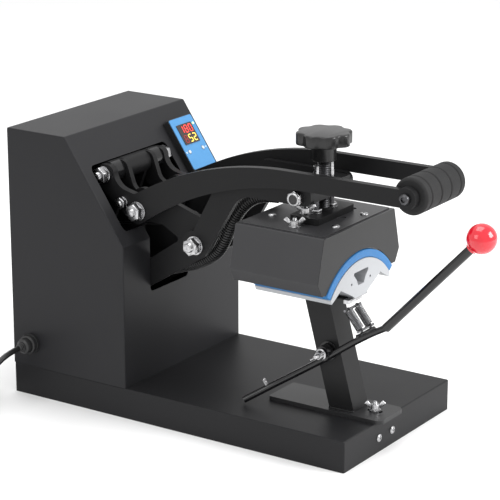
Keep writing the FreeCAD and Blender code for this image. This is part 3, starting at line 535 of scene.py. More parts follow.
def spun(profile: Sequence[tuple[float, float]], steps: int = 48) -> bmesh.types.BMesh:
    """A closed solid turned about Z.

    Args:
        profile: (radius, height) points in metres, from one pole or rim to the other.
        steps: Segments round the axis.

    Returns:
        The turned mesh.
    """
    mesh = bmesh.new()
    verts = [mesh.verts.new((radius, 0, height)) for radius, height in profile]
    ring = verts + [verts[0]] if profile[0][0] > 1e-9 else verts
    edges = [mesh.edges.new(pair) for pair in zip(ring, ring[1:])]
    bmesh.ops.spin(mesh, geom=verts + edges, cent=(0, 0, 0), axis=(0, 0, 1), angle=math.tau,
                   steps=steps, use_merge=True, use_duplicate=False)
    return tidied(mesh)


def bevelled(mesh: bmesh.types.BMesh, width: float, segments: int = 2, sharp: float = 0.5) -> bmesh.types.BMesh:
    """Rounds the mesh's sharp edges.

    Args:
        mesh: The mesh.
        width: Bevel width in metres.
        segments: Bevel segments.
        sharp: Edges that turn by more than this angle are rounded, in radians.

    Returns:
        The same mesh.
    """
    edges = [e for e in mesh.edges if len(e.link_faces) == 2 and e.calc_face_angle(0) > sharp]
    bmesh.ops.bevel(mesh, geom=edges, offset=width, offset_type="OFFSET", affect="EDGES",
                    segments=segments, profile=0.5, material=-1, clamp_overlap=True)
    return mesh


def slab(size: Sequence[float], width: float = 0.0, segments: int = 2) -> bmesh.types.BMesh:
    """A block about the origin with rounded edges.

    Args:
        size: Its length along X, Y and Z.
        width: How wide its edges are rounded, or 0 to leave them sharp.
        segments: Segments of each rounded edge.

    Returns:
        The block.
    """
    mesh = bmesh.new()
    bmesh.ops.create_cube(mesh, size=1.0)
    bmesh.ops.scale(mesh, vec=Vector(size), verts=mesh.verts)
    return bevelled(mesh, width, segments) if width else mesh


def joined(meshes: Iterable[bmesh.types.BMesh]) -> bmesh.types.BMesh:
    """Puts several meshes into one.

    Args:
        meshes: The meshes, which are used up.

    Returns:
        The whole mesh.
    """
    whole = bmesh.new()
    for mesh in meshes:
        data = bpy.data.meshes.new("part")
        mesh.to_mesh(data)
        mesh.free()
        whole.from_mesh(data)
        bpy.data.meshes.remove(data)
    return whole


def piece(name: str, mesh: bmesh.types.BMesh, finish: Finish,
          smooth: float = 0.6) -> bpy.types.Object:
    """Turns a finished mesh into an object at the origin.

    Args:
        name: The piece's name.
        mesh: Its mesh, already in place.
        finish: What it is finished in.
        smooth: Edges under this angle are shaded smooth, in radians.

    Returns:
        The new object.
    """
    data = bpy.data.meshes.new(name)
    mesh.to_mesh(data)
    mesh.free()
    shape = bpy.data.objects.new(name, data)
    bpy.context.collection.objects.link(shape)
    data.materials.append(PALETTE.get(finish))
    data.set_sharp_from_angle(angle=smooth)
    for face in data.polygons:
        face.use_smooth = True
    return shape


def ridden(shape: bpy.types.Object, body: str, *nodes: str) -> bpy.types.Object:
    """Makes a piece ride on a body and stand for CAD nodes.

    Args:
        shape: The piece.
        body: The body that it moves with.
        nodes: The CAD nodes that it stands for.

    Returns:
        The piece.
    """
    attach(shape, body)
    if nodes:
        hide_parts(*nodes)
    LOG.info("%s rides on %s", shape.name, body)
    return shape


# ------------------------------------------------------------------ hardware


@dataclass(frozen=True)
class Hardware:
    """Nuts, washers, bolt ends and screws, each built on local Z with its seat at zero."""

    flats: float = 19 * MM
    height: float = 10 * MM
    bore: float = 6 * MM

    def nut(self) -> bmesh.types.BMesh:
        """A hexagonal nut with turned, chamfered corners."""
        mesh = bmesh.new()
        corner = self.flats / 2 / math.cos(math.pi / 6)
        bmesh.ops.create_circle(mesh, cap_ends=True, radius=corner, segments=6)
        bottom = list(mesh.faces)
        raised = bmesh.ops.extrude_face_region(mesh, geom=bottom)
        upper = [v for v in raised["geom"] if isinstance(v, bmesh.types.BMVert)]
        bmesh.ops.translate(mesh, vec=(0, 0, self.height), verts=upper)
        upright = [e for e in mesh.edges if abs(e.verts[0].co.z - e.verts[1].co.z) > 1e-5]
        bmesh.ops.bevel(mesh, geom=upright, offset=self.flats * 0.03, affect="EDGES", segments=2,
                        profile=0.5, material=-1)
        rims = [e for e in mesh.edges if abs(e.verts[0].co.z - e.verts[1].co.z) < 1e-6]
        bmesh.ops.bevel(mesh, geom=rims, offset=self.flats * 0.05, affect="EDGES", segments=2,
                        profile=0.5, material=-1)
        return tidied(mesh)

    def washer(self, radius: float, thick: float) -> bmesh.types.BMesh:
        """A flat washer with eased rims.

        Args:
            radius: Its outer radius.
            thick: Its thickness.

        Returns:
            The washer.
        """
        ease = min(0.3 * MM, thick / 3)
        inner = self.bore * 1.02
        return spun([(inner, 0), (radius - ease, 0), (radius, ease), (radius, thick - ease),
                     (radius - ease, thick), (inner, thick)])

    def bolt_end(self, length: float, pitch: float = 1.75 * MM) -> bmesh.types.BMesh:
        """A threaded bolt end with rings for threads and a chamfered tip.

        Args:
            length: How far it stands out.
            pitch: From one thread to the next.

        Returns:
            The bolt end.
        """
        radius = self.bore * 0.9
        profile = [(0, 0), (radius, 0)]
        rings = max(2, int(length / pitch))
        for i in range(rings):
            z = length * i / rings
            profile.append((radius, z + length / rings * 0.25))
            profile.append((radius * 0.9, z + length / rings * 0.75))
        profile += [(radius * 0.86, length), (radius * 0.5, length + 0.5 * MM), (0, length + 0.6 * MM)]
        return spun(profile, 28)

    def shank(self, length: float) -> bmesh.types.BMesh:
        """A plain shank."""
        return spun([(0, 0), (self.bore * 0.98, 0), (self.bore * 0.98, length), (0, length)], 28)

    def wing_nut(self) -> bmesh.types.BMesh:
        """A pressed wing nut: a flanged, tapered hub and two broad, thin wings."""
        hub = spun([(3.1 * MM, 0), (6.9 * MM, 0), (7.0 * MM, 1.0 * MM), (5.4 * MM, 1.7 * MM),
                    (4.8 * MM, 7.2 * MM), (4.3 * MM, 7.8 * MM), (3.1 * MM, 7.8 * MM)], 32)
        parts = [hub]
        for side in (-1, 1):
            wing = slab((5.0 * MM, 2.1 * MM, 12.0 * MM), 1.0 * MM, 4)
            for vert in wing.verts:
                vert.co.x *= 1.0 + 0.2 * vert.co.z / (6.0 * MM)
            lean = turned("Y", side * math.radians(44))
            parts.append(moved(wing, Matrix.Translation((side * 7.0 * MM, 0, 6.4 * MM)) @ lean))
        return joined(parts)

    def pan_screw(self, radius: float = 5 * MM, height: float = 2.6 * MM) -> bmesh.types.BMesh:
        """A domed screw head with a cross recess.

        Args:
            radius: The head's radius.
            height: The head's height.

        Returns:
            The screw head.
        """
        arcs = [(radius * math.cos(a), 0.5 * MM + (height - 0.5 * MM) * math.sin(a))
                for a in (math.radians(10 * i) for i in range(9))]
        head = spun([(0, 0), (radius, 0)] + arcs + [(0, height)], 32)
        cutters = [slab((radius * 1.05, radius * 0.2, 2.2 * MM)), slab((radius * 0.2, radius * 1.05, 2.2 * MM))]
        return carved(head, [moved(c, lifted(height)) for c in cutters])


def carved(mesh: bmesh.types.BMesh, cutters: Iterable[bmesh.types.BMesh]) -> bmesh.types.BMesh:
    """Cuts closed shapes out of a mesh.

    Args:
        mesh: The mesh to cut.
        cutters: The shapes taken out of it.

    Returns:
        The cut mesh.
    """
    shapes = []
    for shape in (mesh, joined(cutters)):
        data = bpy.data.meshes.new("carve")
        shape.to_mesh(data)
        shape.free()
        holder = bpy.data.objects.new("carve", data)
        bpy.context.collection.objects.link(holder)
        shapes.append(holder)
    body, tool = shapes
    step = body.modifiers.new("carve", "BOOLEAN")
    step.operation = "DIFFERENCE"
    step.solver = "EXACT"
    step.use_self = True
    step.object = tool
    baked = bpy.data.meshes.new_from_object(body.evaluated_get(bpy.context.evaluated_depsgraph_get()))
    result = bmesh.new()
    result.from_mesh(baked)
    for holder in shapes:
        bpy.data.objects.remove(holder)
    bpy.data.meshes.remove(baked)
    return result


def across(spot: Vector, side: int) -> Matrix:
    """A place on a shaft that runs along X, with local Z pointing out of that side."""
    return placed(spot, (side, 0, 0))


# ------------------------------------------------------------------ camera, light and floor


@dataclass(frozen=True)
class Studio:
    """The camera, the soft lights and the plain floor."""

    location: tuple[float, float, float] = (-2.080943, -1.422315, 0.965334)
    azimuth: float = -56.239
    elevation: float = 16.948
    lens: float = 153.4565

    def shoot_from(self) -> None:
        """Makes the camera."""
        a, e = math.radians(self.azimuth), math.radians(self.elevation)
        back = Vector((math.sin(a) * math.cos(e), -math.cos(a) * math.cos(e), math.sin(e)))
        data = bpy.data.cameras.new("camera")
        data.lens = self.lens
        data.sensor_width = 36
        data.clip_end = 30
        camera = bpy.data.objects.new("camera", data)
        camera.matrix_world = placed(self.location, back)
        bpy.context.collection.objects.link(camera)
        bpy.context.scene.camera = camera

    def lamp(self, name: str, spot: tuple[float, float, float], aim: tuple[float, float, float],
             size: float, watts: float) -> None:
        """Adds one soft square light.

        Args:
            name: Its name.
            spot: Where it stands.
            aim: What it points at.
            size: Its side, in metres.
            watts: Its power.
        """
        data = bpy.data.lights.new(name, "AREA")
        data.size = size
        data.energy = watts
        light = bpy.data.objects.new(name, data)
        light.matrix_world = placed(spot, Vector(spot) - Vector(aim))
        bpy.context.collection.objects.link(light)

    def light(self) -> None:
        """Lights the press like a product on a white sweep."""
        world = bpy.data.worlds.new("studio")
        world.use_nodes = True
        sky = world.node_tree.nodes["Background"]
        sky.inputs["Color"].default_value = (1, 1, 1, 1)
        sky.inputs["Strength"].default_value = 0.95
        bpy.context.scene.world = world
        bpy.context.scene.view_settings.view_transform = "Standard"
        self.lamp("key", (0.7, -2.4, 1.5), (0, 0, 0.2), 1.4, 62)
        self.lamp("top", (0.0, 0.2, 2.4), (0, 0, 0.1), 1.6, 26)
        self.lamp("left", (-2.0, 0.4, 1.2), (0, 0, 0.2), 1.0, 8)

    def floor(self) -> None:
        """Lays the floor."""
        mesh = bmesh.new()
        bmesh.ops.create_grid(mesh, x_segments=1, y_segments=1, size=12)
        data = bpy.data.meshes.new("floor")
        mesh.to_mesh(data)
        mesh.free()
        floor = bpy.data.objects.new("floor", data)
        data.materials.append(PALETTE.get(Finish.FLOOR))
        bpy.context.collection.objects.link(floor)


# ------------------------------------------------------------------ mains lead


@dataclass
class MainsLead:
    """The gland, the lead with its put-away coil, and the plug."""

    diameter: float = 7 * MM
    length: float = 1.50
    gland: tuple[float, float, float] = (-0.125, 0.216, 0.070)
    relief: float = 27 * MM
    coil: tuple[float, float] = (-0.195, 0.280)
    route: list[tuple[float, float, float]] = field(default_factory=lambda: [
        (-0.152, 0.216, 0.070), (-0.172, 0.2165, 0.069), (-0.193, 0.220, 0.058), (-0.209, 0.227, 0.040),
        (-0.221, 0.238, 0.020), (-0.228, 0.254, 0.0085), (-0.231, 0.268, 0.0041)])
    turn_points: int = 16

    def coil_points(self) -> list[tuple[float, float, float]]:
        """Points of the neat coil's turns, clockwise from its left side."""
        points = []
        rings = [(39.3, 3.7), (32.2, 3.7), (32.2, 10.7), (39.3, 10.7), (39.3, 17.6), (32.2, 17.6)]
        for turn, (radius, height) in enumerate(rings):
            after = rings[min(turn + 1, len(rings) - 1)]
            for i in range(self.turn_points):
                part = i / self.turn_points
                ease = max(0.0, (part - 0.6) / 0.4)
                r = (radius + (after[0] - radius) * ease) * MM
                z = (height + (after[1] - height) * ease) * MM
                angle = math.pi - math.tau * part
                points.append((self.coil[0] + r * math.cos(angle), self.coil[1] + r * math.sin(angle), z))
        return points

    def lead(self) -> bpy.types.Object:
        """The flexible lead, one open spline."""
        points = self.route + self.coil_points() + self.tail()
        curve = bpy.data.curves.new("mains_lead", "CURVE")
        curve.dimensions = "3D"
        curve.bevel_depth = self.diameter / 2
        curve.bevel_resolution = 4
        curve.use_fill_caps = True
        spline = curve.splines.new("NURBS")
        spline.points.add(len(points) - 1)
        for point, spot in zip(spline.points, points):
            point.co = (*spot, 1.0)
        spline.order_u = 3
        spline.use_endpoint_u = True
        spline.resolution_u = 6
        lead = bpy.data.objects.new("mains_lead", curve)
        bpy.context.collection.objects.link(lead)
        curve.materials.append(PALETTE.get(Finish.CORD))
        return ridden(lead, "root", "cord_lead", "cord_coil")

    def tail(self) -> list[tuple[float, float, float]]:
        """The end of the lead, from the last turn into the plug."""
        x, y = self.coil
        return [(x - 0.0395, y + 0.001, 0.0176), (x - 0.034, y + 0.020, 0.0165),
                (x - 0.018, y + 0.0345, 0.0145),
                (x + 0.002, y + 0.0392, 0.0125), (x + 0.018, y + 0.0395, 0.012), (x + 0.030, y + 0.0395, 0.012)]

    def plug(self) -> bpy.types.Object:
        """The two-pin plug with a waisted body and a ribbed neck."""
        low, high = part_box("cord_plug")
        mid = (low + high) / 2
        body_length = 34 * MM
        body = slab((body_length, high.y - low.y, high.z - low.z), 4.5 * MM, 4)
        for vert in body.verts:
            if vert.co.x < -body_length * 0.2:
                vert.co.y *= 0.8
                vert.co.z *= 0.72
        parts = [moved(body, Matrix.Translation((low.x + body_length / 2, mid.y, mid.z)))]
        for offset in (-6 * MM, 6 * MM):
            pin = spun([(0, 0), (2.4 * MM, 0), (2.4 * MM, 17.5 * MM), (1.6 * MM, 19 * MM), (0, 19 * MM)], 20)
            parts.append(moved(pin, placed((low.x + body_length, mid.y, mid.z + offset), (1, 0, 0))))
        plug = piece("mains_plug", joined(parts), Finish.BLACK_PLASTIC)
        plug.data.materials.append(PALETTE.get(Finish.ZINC))
        for face in plug.data.polygons:
            if face.center.x > low.x + body_length + 0.2 * MM:
                face.material_index = 1
        return ridden(plug, "root", "cord_plug")

    def gland_nut(self) -> bpy.types.Object:
        """The gland's ribbed nut, domed cap and tapered strain relief."""
        profile = [(3.7, -2), (12.3, -2), (12.5, 0.4), (12.5, 3.4), (12.1, 3.7), (12.1, 4.6), (12.5, 4.9),
                   (12.5, 8.2), (11.8, 9.4), (10.3, 9.9), (9.9, 10.6), (10.1, 12.0), (10.0, 15.2), (9.2, 17.6),
                   (7.6, 18.8), (6.6, 19.2), (6.2, 21.0), (5.2, 21.4), (5.6, 23.0), (4.6, 23.5), (5.0, 25.0),
                   (4.3, 26.8), (3.7, 27.0)]
        mesh = spun([(r * MM, h * MM) for r, h in profile], 48)
        for vert in mesh.verts:
            reach = math.hypot(vert.co.x, vert.co.y)
            if reach > 11.5 * MM and 0 < vert.co.z < 9 * MM:
                angle = math.atan2(vert.co.y, vert.co.x)
                vert.co.xy *= 1 - 0.035 * (0.5 + 0.5 * math.cos(16 * angle))
        gland = piece("cord_gland_nut", moved(mesh, placed(self.gland, (-1, 0, 0))), Finish.BLACK_PLASTIC,
                      0.5)
        return ridden(gland, "root", "cord_gland")

    def build(self) -> None:
        gland, lead, plug = self.gland_nut(), self.lead(), self.plug()


# ------------------------------------------------------------------ cabinet


@dataclass
class Cabinet:
    """The base tray, the tower and everything fixed to their sheet metal."""

    screw_radius: float = 5 * MM
    front_screws: tuple[float, float] = (-45.5 * MM, -14.5 * MM)
    front_face: float = -245 * MM
    front_screw_height: float = 18 * MM
    low_screw_height: float = 52 * MM
    head_height: float = 2.6 * MM
    shade_sheet_margin: float = 16 * MM
    shade_sheet_bottom: float = 190 * MM

    def dress(self) -> None:
        """Finishes the sheet metal."""
        paint_nodes({
            Finish.CABINET: ["tower_shell", "tower_back"],
            Finish.BASE_PAINTED_SHADE: ["base_tray", "base_bottom"],
            Finish.BLACK_PLASTIC: ["power_switch", "power_rocker", "controller_module"],
        })

    def screws(self) -> None:
        """The cross-head screws in the base's front and the tower's back."""
        low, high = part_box("case_screws")
        hw = Hardware()
        heads = []
        for x in self.front_screws:
            seat = placed((x, self.front_face, self.front_screw_height), (0, -1, 0))
            heads.append(moved(hw.pan_screw(self.screw_radius), seat))
        back = high.y - self.head_height
        for x in (low.x + self.screw_radius, 0.0, high.x - self.screw_radius):
            for z in (self.low_screw_height, high.z - self.screw_radius):
                heads.append(moved(hw.pan_screw(self.screw_radius), placed((x, back, z), (0, 1, 0))))
        ridden(piece("cabinet_screws", joined(heads), Finish.ZINC, 0.4), "root", "case_screws")

    def louvre_shade_sheet(self) -> None:
        """A dark sheet behind the back's louvres: painted shade standing in for the dark inside of the tower."""
        low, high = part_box("tower_back")
        margin, bottom = self.shade_sheet_margin, self.shade_sheet_bottom
        size = (high.x - low.x - 2 * margin, 0.8 * MM, high.z - margin - bottom)
        spot = Matrix.Translation(((low.x + high.x) / 2, low.y - 1.0 * MM, bottom + size[2] / 2))
        sheet = moved(slab(size, 0.25 * MM), spot)
        shade_sheet = piece("louvre_painted_shade_sheet", sheet, Finish.BLACK_PLASTIC)
        ridden(shade_sheet, "root")

    def build(self) -> None:
        """Builds the cabinet's pieces."""
        self.dress()
        self.screws()
        self.louvre_shade_sheet()


def paint_nodes(nodes: dict[Finish, list[str]]) -> None:
    """Gives CAD nodes their finishes.

    Args:
        nodes: Node names by finish.
    """
    for finish, names in nodes.items():
        for name in names:
            data = frame["nodes"][name].data
            if not data.materials:
                data.materials.append(None)
            for i in range(len(data.materials)):
                data.materials[i] = PALETTE.get(finish)
            LOG.info("%s finished in %s", name, finish.name)


# ------------------------------------------------------------------ control panel


SEGMENTS: dict[str, str] = {"0": "abcdef", "1": "bc", "2": "abged", "5": "afgcd", "8": "abcdefg"}


@dataclass
class ControlPanel:
    """The sloping control box: its membrane, the lit display, two keys and a lamp."""

    digit_height: float = 9.6 * MM
    digit_width: float = 5.2 * MM
    stroke: float = 0.95 * MM
    spacing: float = 9.2 * MM
    row: float = 6.6 * MM
    right_digit: float = 9.4 * MM
    left_digit: float = -9.0 * MM
    key_reach: float = 2.35 * MM
    mark_offset: float = 6.4 * MM

    def slope(self) -> Matrix:
        """The panel's own frame: X across, Y up the slope, Z out of it, at the window's middle."""
        press = next(j for j in frame["joints"] if j["name"] == "button_left_press")
        out = -Vector(press["axis"]).normalized()
        up = out.cross(Vector((1, 0, 0))).normalized()
        turn = Matrix((Vector((1, 0, 0)), up, out)).transposed().to_4x4()
        return Matrix.Translation(middle("display_window")) @ turn

    def segment(self, letter: str) -> Matrix:
        """Where one stroke of a digit lies.

        Args:
            letter: The stroke's letter, from a to g.

        Returns:
            Its place about the digit's middle.
        """
        w, h = self.digit_width / 2, self.digit_height / 2
        flat = {"a": (0, h), "g": (0, 0), "d": (0, -h)}
        if letter in flat:
            return Matrix.Translation((*flat[letter], 0))
        upright = {"f": (-w, h / 2), "b": (w, h / 2), "e": (-w, -h / 2), "c": (w, -h / 2)}
        return Matrix.Translation((*upright[letter], 0)) @ turned("Z", math.pi / 2)

    def digits(self, name: str, text: str, row: float, right: float, finish: Finish) -> None:
        """One row of lit digits.

        Args:
            name: The piece's name.
            text: The digits, right-aligned.
            row: The row's height about the window's middle, in metres.
            right: The last digit's place across, in metres.
            finish: The lit finish.
        """
        strokes = []
        skew = Matrix.Shear("XY", 4, (0.12, 0.0))
        for i, character in enumerate(reversed(text)):
            spot = Matrix.Translation((right - self.spacing * i, row, 0.62 * MM))
            for letter in SEGMENTS[character]:
                across_digit = letter in "agd"
                long = self.digit_width * 0.86 if across_digit else self.digit_height / 2 * 0.84
                bar = slab((long, self.stroke, 0.3 * MM), 0.1 * MM, 1)
                bar = moved(bar, self.segment(letter))
                strokes.append(moved(bar, self.slope() @ spot @ skew))
        ridden(piece(name, joined(strokes), finish), "root")

    def keys(self) -> None:
        """The two domed keys."""
        for side in ("left", "right"):
            node = f"button_{side}"
            cap = spun([(0, -5.6 * MM), (2.45 * MM, -5.6 * MM), (2.45 * MM, 0.1 * MM), (2.1 * MM, 0.6 * MM),
                        (1.2 * MM, 0.85 * MM), (0, 0.9 * MM)], 32)
            out = self.slope().to_3x3() @ Vector((0, 0, 1))
            top = middle(node) + out * self.key_reach
            cap_piece = piece(f"key_{side}", moved(cap, placed(top, out)), Finish.KEY_CAP)
            ridden(cap_piece, node, node)

    def key_marks(self) -> None:
        """The small printed arrows beside the keys."""
        out = self.slope().to_3x3() @ Vector((0, 0, 1))
        turn = self.slope().to_3x3().to_4x4()
        marks = []
        for side, way in (("left", -1), ("right", 1)):
            spot = middle(f"button_{side}") + self.slope().to_3x3() @ Vector((way * self.mark_offset, 0, 0))
            spot += out * (self.print_height(spot) + 0.1 * MM)
            arrow = bmesh.new()
            bmesh.ops.create_cone(arrow, cap_ends=True, segments=3, radius1=1.9 * MM, radius2=1.7 * MM,
                                  depth=0.3 * MM)
            marks.append(moved(arrow, Matrix.Translation(spot) @ turn @ turned("Z", -way * math.pi / 2)))
        ridden(piece("key_marks", joined(marks), Finish.PRINT_PALE), "root")

    def print_height(self, spot: Vector) -> float:
        """How far the membrane's face stands out from a point beside it.

        Args:
            spot: The point.

        Returns:
            The distance along the panel's normal.
        """
        inward = self.slope().inverted() @ spot
        sheet = frame["nodes"]["control_faceplate"].data
        place = self.slope().inverted()
        return max((place @ v.co).z for v in sheet.vertices) - inward.z

    def build(self) -> None:
        """Builds the panel."""
        paint_nodes({Finish.BLACK_PLASTIC: ["control_box"], Finish.PANEL: ["control_faceplate"],
                     Finish.WINDOW: ["display_window"], Finish.LAMP: ["status_led"]})
        self.digits("red_digits", "180", self.row, self.right_digit, Finish.RED_DIGIT)
        self.digits("amber_digits", "52", -self.row, self.right_digit, Finish.AMBER_DIGIT)
        self.digits("dim_digits", "8", -self.row, self.left_digit, Finish.DIM_DIGIT)
        self.keys()
        self.key_marks()


# ------------------------------------------------------------------ lever linkage


@dataclass
class Linkage:
    """The handle bars, arm plates, frame plates and their bolts."""

    bar_half: float = 57 * MM
    arm_half: float = 47 * MM

    def dress(self) -> None:
        """Finishes the steel plates."""
        paint_nodes({
            Finish.STRUCTURE: ["handle_bar_left", "handle_bar_right", "inner_lug_left", "inner_lug_right",
                               "arm_plate_left", "arm_plate_right", "frame_plate_left", "frame_plate_right",
                               "arm_tail", "toggle_link", "screw_block"],
            Finish.AXLE_BLACK: ["rear_sleeves"],
            Finish.DARK_STEEL: ["grip_axle"],
        })

    def cross_bolt(self, name: str, node: str, body: str, half: float, washers: Sequence[tuple[float, float]],
                   hardware: Hardware, end: float) -> None:
        """A bolt through the machine with nuts on both sides.

        Args:
            name: The piece's name.
            node: The CAD node that it stands for.
            body: The body that it rides on.
            half: From the middle plane to the outer face, in metres.
            washers: (radius, thickness) of each washer, from the face out.
            hardware: Sizes of the nut and bolt.
            end: How far the bolt stands out of the nut.
        """
        spot = middle(node)
        parts = []
        for side in (-1, 1):
            stack = half
            for radius, thick in washers:
                seat = across(spot + Vector((side * stack, 0, 0)), side)
                parts.append(moved(hardware.washer(radius, thick), seat))
                stack += thick
            turn = turned("Z", math.radians(20 + 25 * side))
            seat = across(spot + Vector((side * stack, 0, 0)), side)
            parts.append(moved(hardware.nut(), seat @ turn))
            tip = across(spot + Vector((side * (stack + hardware.height), 0, 0)), side)
            parts.append(moved(hardware.bolt_end(end), tip))
        shank = hardware.shank(2 * half)
        parts.append(moved(shank, across(spot - Vector((half, 0, 0)), 1)))
        ridden(piece(name, joined(parts), Finish.ZINC, 0.45), body, node)

    def stop_bolts(self) -> None:
        """The two short bolts behind the fulcrum."""
        hardware = Hardware(13 * MM, 6.5 * MM, 4 * MM)
        spot = middle("stop_bolts")
        parts = []
        for side in (-1, 1):
            face = spot + Vector((side * self.bar_half, 0, 0))
            parts.append(moved(hardware.washer(7.4 * MM, 1.0 * MM), across(face, side)))
            parts.append(moved(hardware.nut(), across(face + Vector((side * MM, 0, 0)), side)))
            tip = across(face + Vector((side * 7.5 * MM, 0, 0)), side)
            parts.append(moved(hardware.bolt_end(0.9 * MM), tip))
            parts.append(moved(hardware.shank(12 * MM), across(face - Vector((side * 12 * MM, 0, 0)), side)))
        bolts = piece("stop_bolts_with_nuts", joined(parts), Finish.ZINC, 0.45)
        ridden(bolts, "handle", "stop_bolts")

    def block_bolts(self) -> None:
        """The screw block's side bolts, each with a thick ring washer."""
        hardware = Hardware(17 * MM, 7 * MM, 4 * MM)
        spot = middle("block_bolts")
        parts = []
        for side in (-1, 1):
            face = spot + Vector((side * self.arm_half, 0, 0))
            parts.append(moved(hardware.nut(), across(face, side)))
            seat = face + Vector((side * hardware.height, 0, 0))
            ring = spun([(5.6 * MM, 0), (7.9 * MM, 0), (8.4 * MM, 0.6 * MM), (8.0 * MM, 1.7 * MM),
                         (7.2 * MM, 2.0 * MM), (5.8 * MM, 1.8 * MM)])
            parts.append(moved(ring, across(seat, side)))
            parts.append(moved(hardware.shank(19 * MM), across(face - Vector((side * 19 * MM, 0, 0)), side)))
        bolts = piece("block_side_bolts", joined(parts), Finish.ZINC, 0.45)
        ridden(bolts, "arm", "block_bolts")
        caps = []
        for side in (-1, 1):
            seat = spot + Vector((side * (self.arm_half + hardware.height), 0, 0))
            caps.append(moved(spun([(0, 0), (5.7 * MM, 0), (5.7 * MM, 1.3 * MM), (5.0 * MM, 1.6 * MM),
                                    (0, 1.7 * MM)]), across(seat, side)))
        ridden(piece("block_bolt_caps", joined(caps), Finish.BLACK_PLASTIC), "arm")

    def build(self) -> None:
        """Builds the linkage's pieces."""
        self.dress()
        big = Hardware()
        ring = (11.8 * MM, 1.2 * MM)
        self.cross_bolt("fulcrum_bolt_with_nuts", "fulcrum_bolt", "root", self.bar_half + 0.3 * MM,
                        [ring], big, 3.6 * MM)
        self.cross_bolt("arm_pivot_with_nuts", "arm_pivot_bolt", "arm", self.arm_half + 0.3 * MM,
                        [(11.8 * MM, 1.6 * MM)], Hardware(19 * MM, 10 * MM, 6.6 * MM), 3.4 * MM)
        self.cross_bolt("rear_axle_with_nuts", "rear_axle_bolt", "handle", self.bar_half,
                        [(10.6 * MM, 3 * MM)], big, 3.6 * MM)
        self.stop_bolts()
        self.block_bolts()


@dataclass
class Grip:
    """The foam grip on the handle's cross bar, with its end screws."""

    grooves: int = 4
    groove_depth: float = 1.6 * MM

    def sleeve(self) -> None:
        """The foam sleeve, swollen between shallow grooves."""
        low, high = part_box("foam_grip")
        radius = (high.z - low.z) / 2
        length = high.x - low.x
        core = 6.55 * MM
        profile = [(core, 0), (radius - 3.2 * MM, 0)]
        rows = 132
        for i in range(rows + 1):
            t = i / rows
            x = t * length
            end = min(t, 1 - t) * length
            lip = 3.0 * MM * max(0.0, 1 - end / (3.2 * MM)) ** 2
            groove = 0.0
            for k in range(self.grooves):
                centre = length * (0.13 + 0.74 * k / (self.grooves - 1))
                groove = max(groove, math.exp(-((x - centre) / (1.1 * MM)) ** 2))
            profile.append((radius - lip - self.groove_depth * groove, x))
        profile += [(radius - 3.2 * MM, length), (core, length)]
        mid = (low + high) / 2
        mesh = moved(spun(profile, 72), placed((low.x, mid.y, mid.z), (1, 0, 0)))
        sleeve = piece("foam_sleeve", mesh, Finish.FOAM)
        ridden(sleeve, "handle", "foam_grip")

    def screws(self) -> None:
        """The button-head screws that hold the grip's axle."""
        low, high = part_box("grip_screws")
        mid = (low + high) / 2
        heads = []
        for side, x in ((-1, low.x), (1, high.x)):
            seat = Vector((x - side * 5 * MM, mid.y, mid.z))
            head = spun([(0, 0), (6.5 * MM, 0), (6.5 * MM, 2.6 * MM), (5.8 * MM, 4.2 * MM), (4.2 * MM, 5.0 * MM),
                         (3.2 * MM, 5.0 * MM), (3.0 * MM, 2.4 * MM), (0, 2.2 * MM)], 36)
            heads.append(moved(head, across(seat, side)))
            inner_end = across(seat - Vector((side * 9 * MM, 0, 0)), side)
            heads.append(moved(Hardware(bore=4.9 * MM).shank(9 * MM), inner_end))
        screws = piece("grip_end_screws", joined(heads), Finish.DARK_STEEL, 0.45)
        ridden(screws, "handle", "grip_screws")

    def build(self) -> None:
        """Builds the grip."""
        self.sleeve()
        self.screws()


# ------------------------------------------------------------------ heated head


